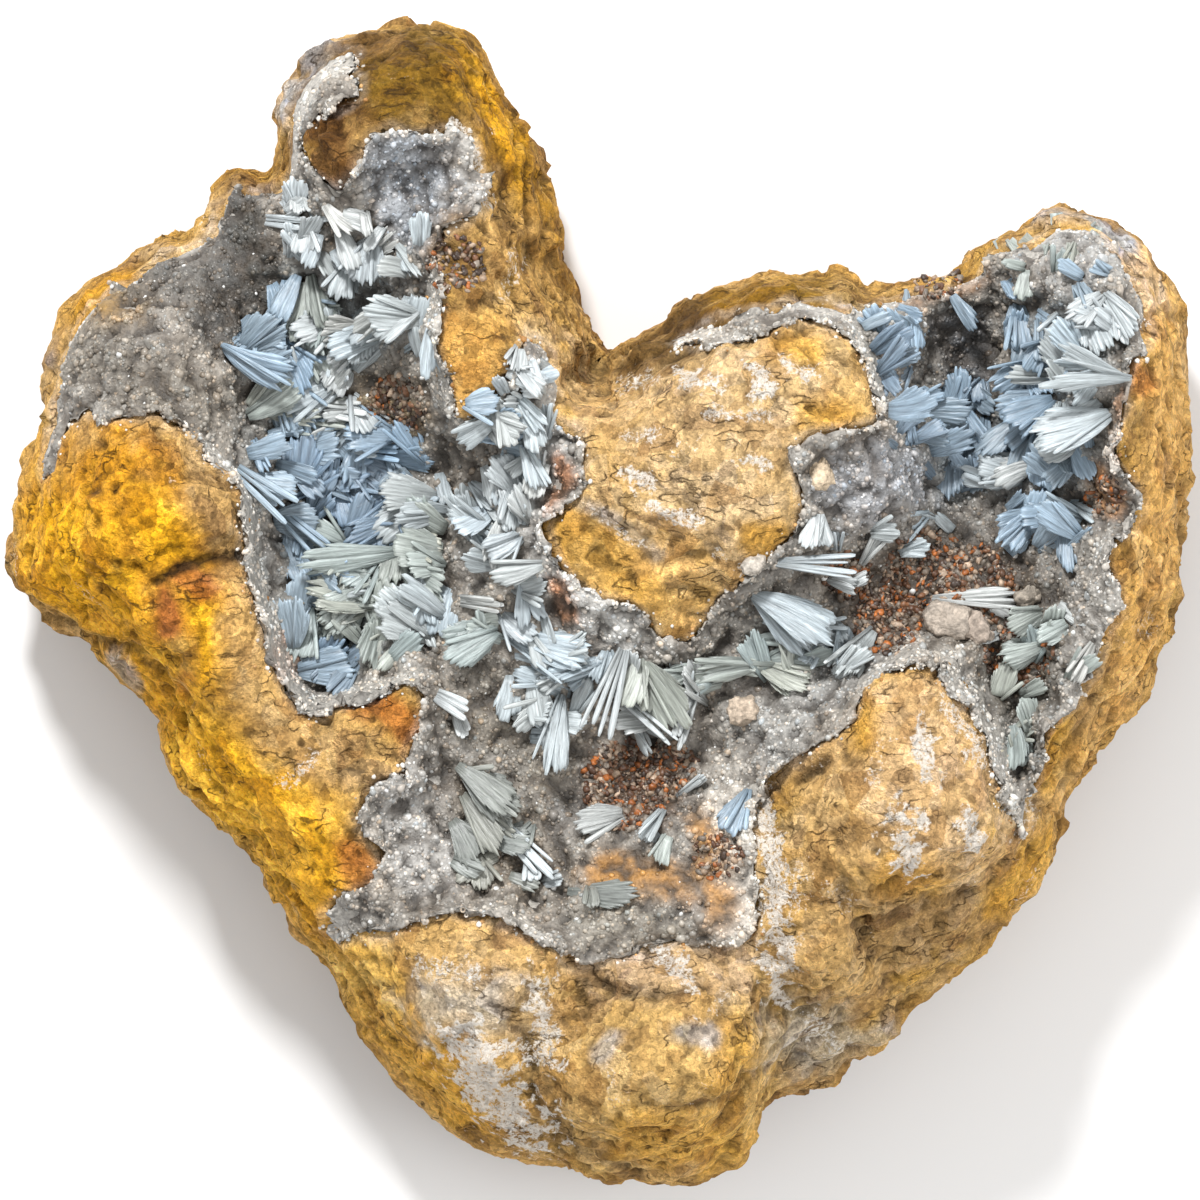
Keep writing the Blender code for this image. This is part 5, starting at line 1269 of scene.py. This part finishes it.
def grow(rng, trees, wish, fans, blades, x, y, heading, length, opening, tint, layers, lift):
    """Adds one spray: the shells of its fan, and the single blades that stand out of it."""
    fan = opening > FAN_FROM
    half = math.radians(opening) / 2
    middle = math.radians(heading)
    base = standing(trees, x, y)
    if base is None:
        raise RuntimeError(f"nothing stands under the spray at {x}, {y}")
    rise = math.radians(rng.uniform(8, 18))
    for share in (0.5, 0.85):
        under = standing(trees, x + share * length * math.cos(middle),
                         y + share * length * math.sin(middle))
        if under is not None:
            rise = max(rise, math.atan2((under[0] - base[0]) / MM + 0.6 + lift, share * length))
    rise = min(rise, STEEPEST)
    roll = rng.normal(0, 0.3)
    tone = np.array(getattr(wish, tint)) * rng.uniform(0.86, 1.12)
    tone *= 1 + np.array((-0.03, 0.0, 0.03)) * rng.normal()
    root = np.array((x, y, base[0] / MM + lift))
    # Each lower shell lies under the one above and is darker by painted shade.
    for layer in range(layers if fan else 0):
        fans.append(shell(rng, root - (0, 0, 0.7 * layer), middle + rng.normal(0, 0.16) * (layer > 0),
                          half * rng.uniform(0.95, 1.2), length * (1 - 0.08 * layer),
                          rise - 0.07 * layer, roll, tone * (1 - 0.08 * layer), wish.thick / MM))
    count = rng.integers(0, 3) if fan else rng.integers(3, 5)
    for blade in range(count):
        share = rng.uniform(-1, 1) if fan else (blade + 0.5) / count * 2 - 1
        turn = middle + share * half + rng.normal(0, 0.03)
        climb = rise + roll * share * half + rng.uniform(0.0, 0.08)
        level = math.cos(climb)
        ahead = np.array((math.cos(turn) * level, math.sin(turn) * level, math.sin(climb)))
        side = np.array((-math.sin(turn), math.cos(turn), math.tan(roll) + rng.normal(0, 0.2)))
        side -= ahead * side.dot(ahead)
        side /= np.linalg.norm(side)
        above = np.cross(ahead, side)
        wide = wish.blade / MM * rng.uniform(0.7, 1.4) * (1.0 if fan else 1.3)
        move = np.column_stack([ahead * length * rng.uniform(0.8, 1.02), side * wide,
                                above * rng.uniform(0.3, 0.55)])
        place = root + above * 0.45 + side * share * 0.8 * (1 if fan else 1.6)
        blades.append((move * MM, place * MM, tone * rng.uniform(0.96, 1.14)))


def shell(rng, root, middle, half, length, rise, roll, tone, thick):
    """A fan of blades grown together, as one closed shell: its points, triangles, tints and grain. Its top is
    ridged along the blades, and its far edge is a comb of their blunt ends."""
    columns = max(9, round(2 * half * length / 0.4))
    along = np.array((0.0, 0.2, 0.45, 0.74, 0.93, 1.0))
    across = np.linspace(-1, 1, columns)
    finger = np.cumsum(rng.random(columns) < 0.5)
    reach = length * (1 - 0.34 * np.abs(across) ** 2.6) * rng.uniform(0.86, 1.03, columns)[finger % columns]
    reach *= 1 - 0.035 * rng.random(columns)
    ridge = rng.normal(0, 0.075, columns)[finger % columns] + rng.normal(0, 0.045, columns)
    starts = np.diff(finger, prepend=finger[0]) > 0
    ridge[starts] -= 0.11
    reach[starts] *= 0.95
    curl = rng.normal(0, 0.14)
    arch = rng.uniform(-0.02, 0.1) * length
    turn = middle + half * across[:, None] * (1 - 0.12 * along) + curl * along
    climb = rise + roll * half * across[:, None] + 0 * along
    ahead = np.stack([np.cos(turn) * np.cos(climb), np.sin(turn) * np.cos(climb), np.sin(climb)], axis=2)
    side = np.array((-math.sin(middle), math.cos(middle), math.tan(roll)))
    points = root + ahead * (reach[:, None] * along)[:, :, None]
    points += (across[:, None] * min(1.5, 2.4 * half) * (1 - along))[:, :, None] * side
    points[:, :, 2] += ridge[:, None] * np.minimum(1, 1.6 * along) - arch * along ** 2
    body = thick * (0.55 + 0.6 * along) * np.where(along == 1, 0.45, 1) * (1 - 0.8 * across[:, None] ** 4)
    top = points.copy()
    top[:, :, 2] += 0.5 * body
    low = points.copy()
    low[:, :, 2] -= 0.5 * body
    stations = len(along)
    grid = np.arange(columns * stations).reshape(columns, stations)
    under = grid + grid.size
    walls = [
        (grid[:-1, :-1], grid[:-1, 1:], grid[1:, 1:], grid[1:, :-1]),
        (under[:-1, :-1], under[1:, :-1], under[1:, 1:], under[:-1, 1:]),
        (grid[0, :-1], under[0, :-1], under[0, 1:], grid[0, 1:]),
        (grid[-1, :-1], grid[-1, 1:], under[-1, 1:], under[-1, :-1]),
        (grid[:-1, -1], under[:-1, -1], under[1:, -1], grid[1:, -1]),
        (grid[:-1, 0], grid[1:, 0], under[1:, 0], under[:-1, 0]),
    ]
    faces = [np.column_stack([wall[pick].ravel() for pick in order])
             for wall in walls for order in ((0, 1, 2), (0, 2, 3))]
    # Painted light and shade on the shell: lighter towards the free end and on the raised ridges, and darker
    # underneath.
    light = (0.84 + 0.2 * along) * (1 + 1.1 * ridge[:, None] * along)
    light = light * rng.uniform(0.9, 1.1, columns)[:, None]
    light = np.concatenate([light.ravel(), 0.8 * light.ravel()])
    arc = 0.5 * half * length * across[:, None] * (0.3 + 0.7 * along)
    grain = np.stack([0.2 * reach[:, None] * along, 3.6 * arc, 0 * arc], axis=2).reshape(-1, 3)
    grain += rng.uniform(0, 90)
    return (np.concatenate([top.reshape(-1, 3), low.reshape(-1, 3)]) * MM, np.concatenate(faces),
            tone * light[:, None], np.concatenate([grain, grain]))


def joined(name, parts, material):
    """One mesh of many shells."""
    points, faces, tints, grain = zip(*parts)
    starts = np.cumsum([0] + [len(part) for part in points])
    faces = [part + start for part, start in zip(faces, starts)]
    return mesh_of(name, np.concatenate(points), np.concatenate(faces), np.concatenate(tints), material,
                   np.concatenate(grain))


class BARITE_OT_stage(bpy.types.Operator):
    """Adds the pale floor, the soft studio light and the camera that looks straight down"""

    bl_idname = "barite.stage"
    bl_label = "Stage"

    def execute(self, context):
        wish = context.scene.barite_stage
        bpy.ops.object.select_all(action="DESELECT")
        bpy.ops.mesh.primitive_plane_add(size=6.0, location=(0, 0, 0))
        floor = context.active_object
        floor.name = "floor"
        made, tree = new_material("pale matt floor")
        shader = add_node(tree, "BsdfPrincipled", {"Base Color": (*wish.floor, 1), "Roughness": 0.9})
        add_node(tree, "OutputMaterial", links={"Surface": shader.outputs["BSDF"]})
        floor.data.materials.append(made)
        world = bpy.data.worlds.new("soft studio light")
        context.scene.world = world
        world.use_nodes = True
        sky = world.node_tree.nodes["Background"]
        sky.inputs["Color"].default_value = (1.0, 1.0, 1.0, 1.0)
        sky.inputs["Strength"].default_value = wish.light
        for name, (place, size, power) in LAMPS.items():
            lamp = bpy.data.lights.new(name, "AREA")
            lamp.shape = "DISK"
            lamp.size = size
            lamp.energy = power
            holder = bpy.data.objects.new(name, lamp)
            context.scene.collection.objects.link(holder)
            holder.location = place
            holder.rotation_euler = (-Vector(place)).to_track_quat("-Z", "Y").to_euler()
        camera = bpy.data.cameras.new("camera")
        camera.sensor_width = SENSOR
        camera.lens = SENSOR * CAMERA_DISTANCE / PICTURE_WIDTH
        camera.clip_end = 100.0
        holder = bpy.data.objects.new("camera", camera)
        context.scene.collection.objects.link(holder)
        holder.location = (0.5 * MM, 1.0 * MM, PICTURE_HEIGHT_UP + CAMERA_DISTANCE)
        context.scene.camera = holder
        context.scene.view_settings.view_transform = "Standard"
        return {"FINISHED"}


class BARITE_PT_panel(bpy.types.Panel):
    """The sizes and colours of the specimen, each above the step that uses them"""

    bl_idname = "BARITE_PT_panel"
    bl_label = "Barite specimen"
    bl_space_type = "VIEW_3D"
    bl_region_type = "UI"
    bl_category = "Barite"

    def draw(self, context):
        for piece in ("stone", "crust", "gravel", "blocks", "sprays", "stage"):
            box = self.layout.box()
            group = "barite_" + piece
            if group in SETTINGS:
                for name in SETTINGS[group].__annotations__:
                    box.prop(getattr(context.scene, group), name)
            box.operator("barite." + piece)


SETTINGS = {
    "barite_stone": StoneSettings,
    "barite_crust": CrustSettings,
    "barite_gravel": GravelSettings,
    "barite_sprays": BariteSettings,
    "barite_stage": StageSettings,
}
STEPS = (BARITE_OT_stone, BARITE_OT_crust, BARITE_OT_gravel, BARITE_OT_blocks, BARITE_OT_sprays,
         BARITE_OT_stage, BARITE_PT_panel)


def register():
    for kind in (*SETTINGS.values(), *STEPS):
        bpy.utils.register_class(kind)
    for name, kind in SETTINGS.items():
        setattr(bpy.types.Scene, name, PointerProperty(type=kind))


def unregister():
    for name in SETTINGS:
        delattr(bpy.types.Scene, name)
    for kind in reversed((*SETTINGS.values(), *STEPS)):
        bpy.utils.unregister_class(kind)


def main():
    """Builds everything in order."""
    register()
    bpy.ops.barite.stone()
    bpy.ops.barite.crust()
    bpy.ops.barite.gravel()
    bpy.ops.barite.blocks()
    bpy.ops.barite.sprays()
    bpy.ops.barite.stage()


if __name__ == "__main__":
    main()
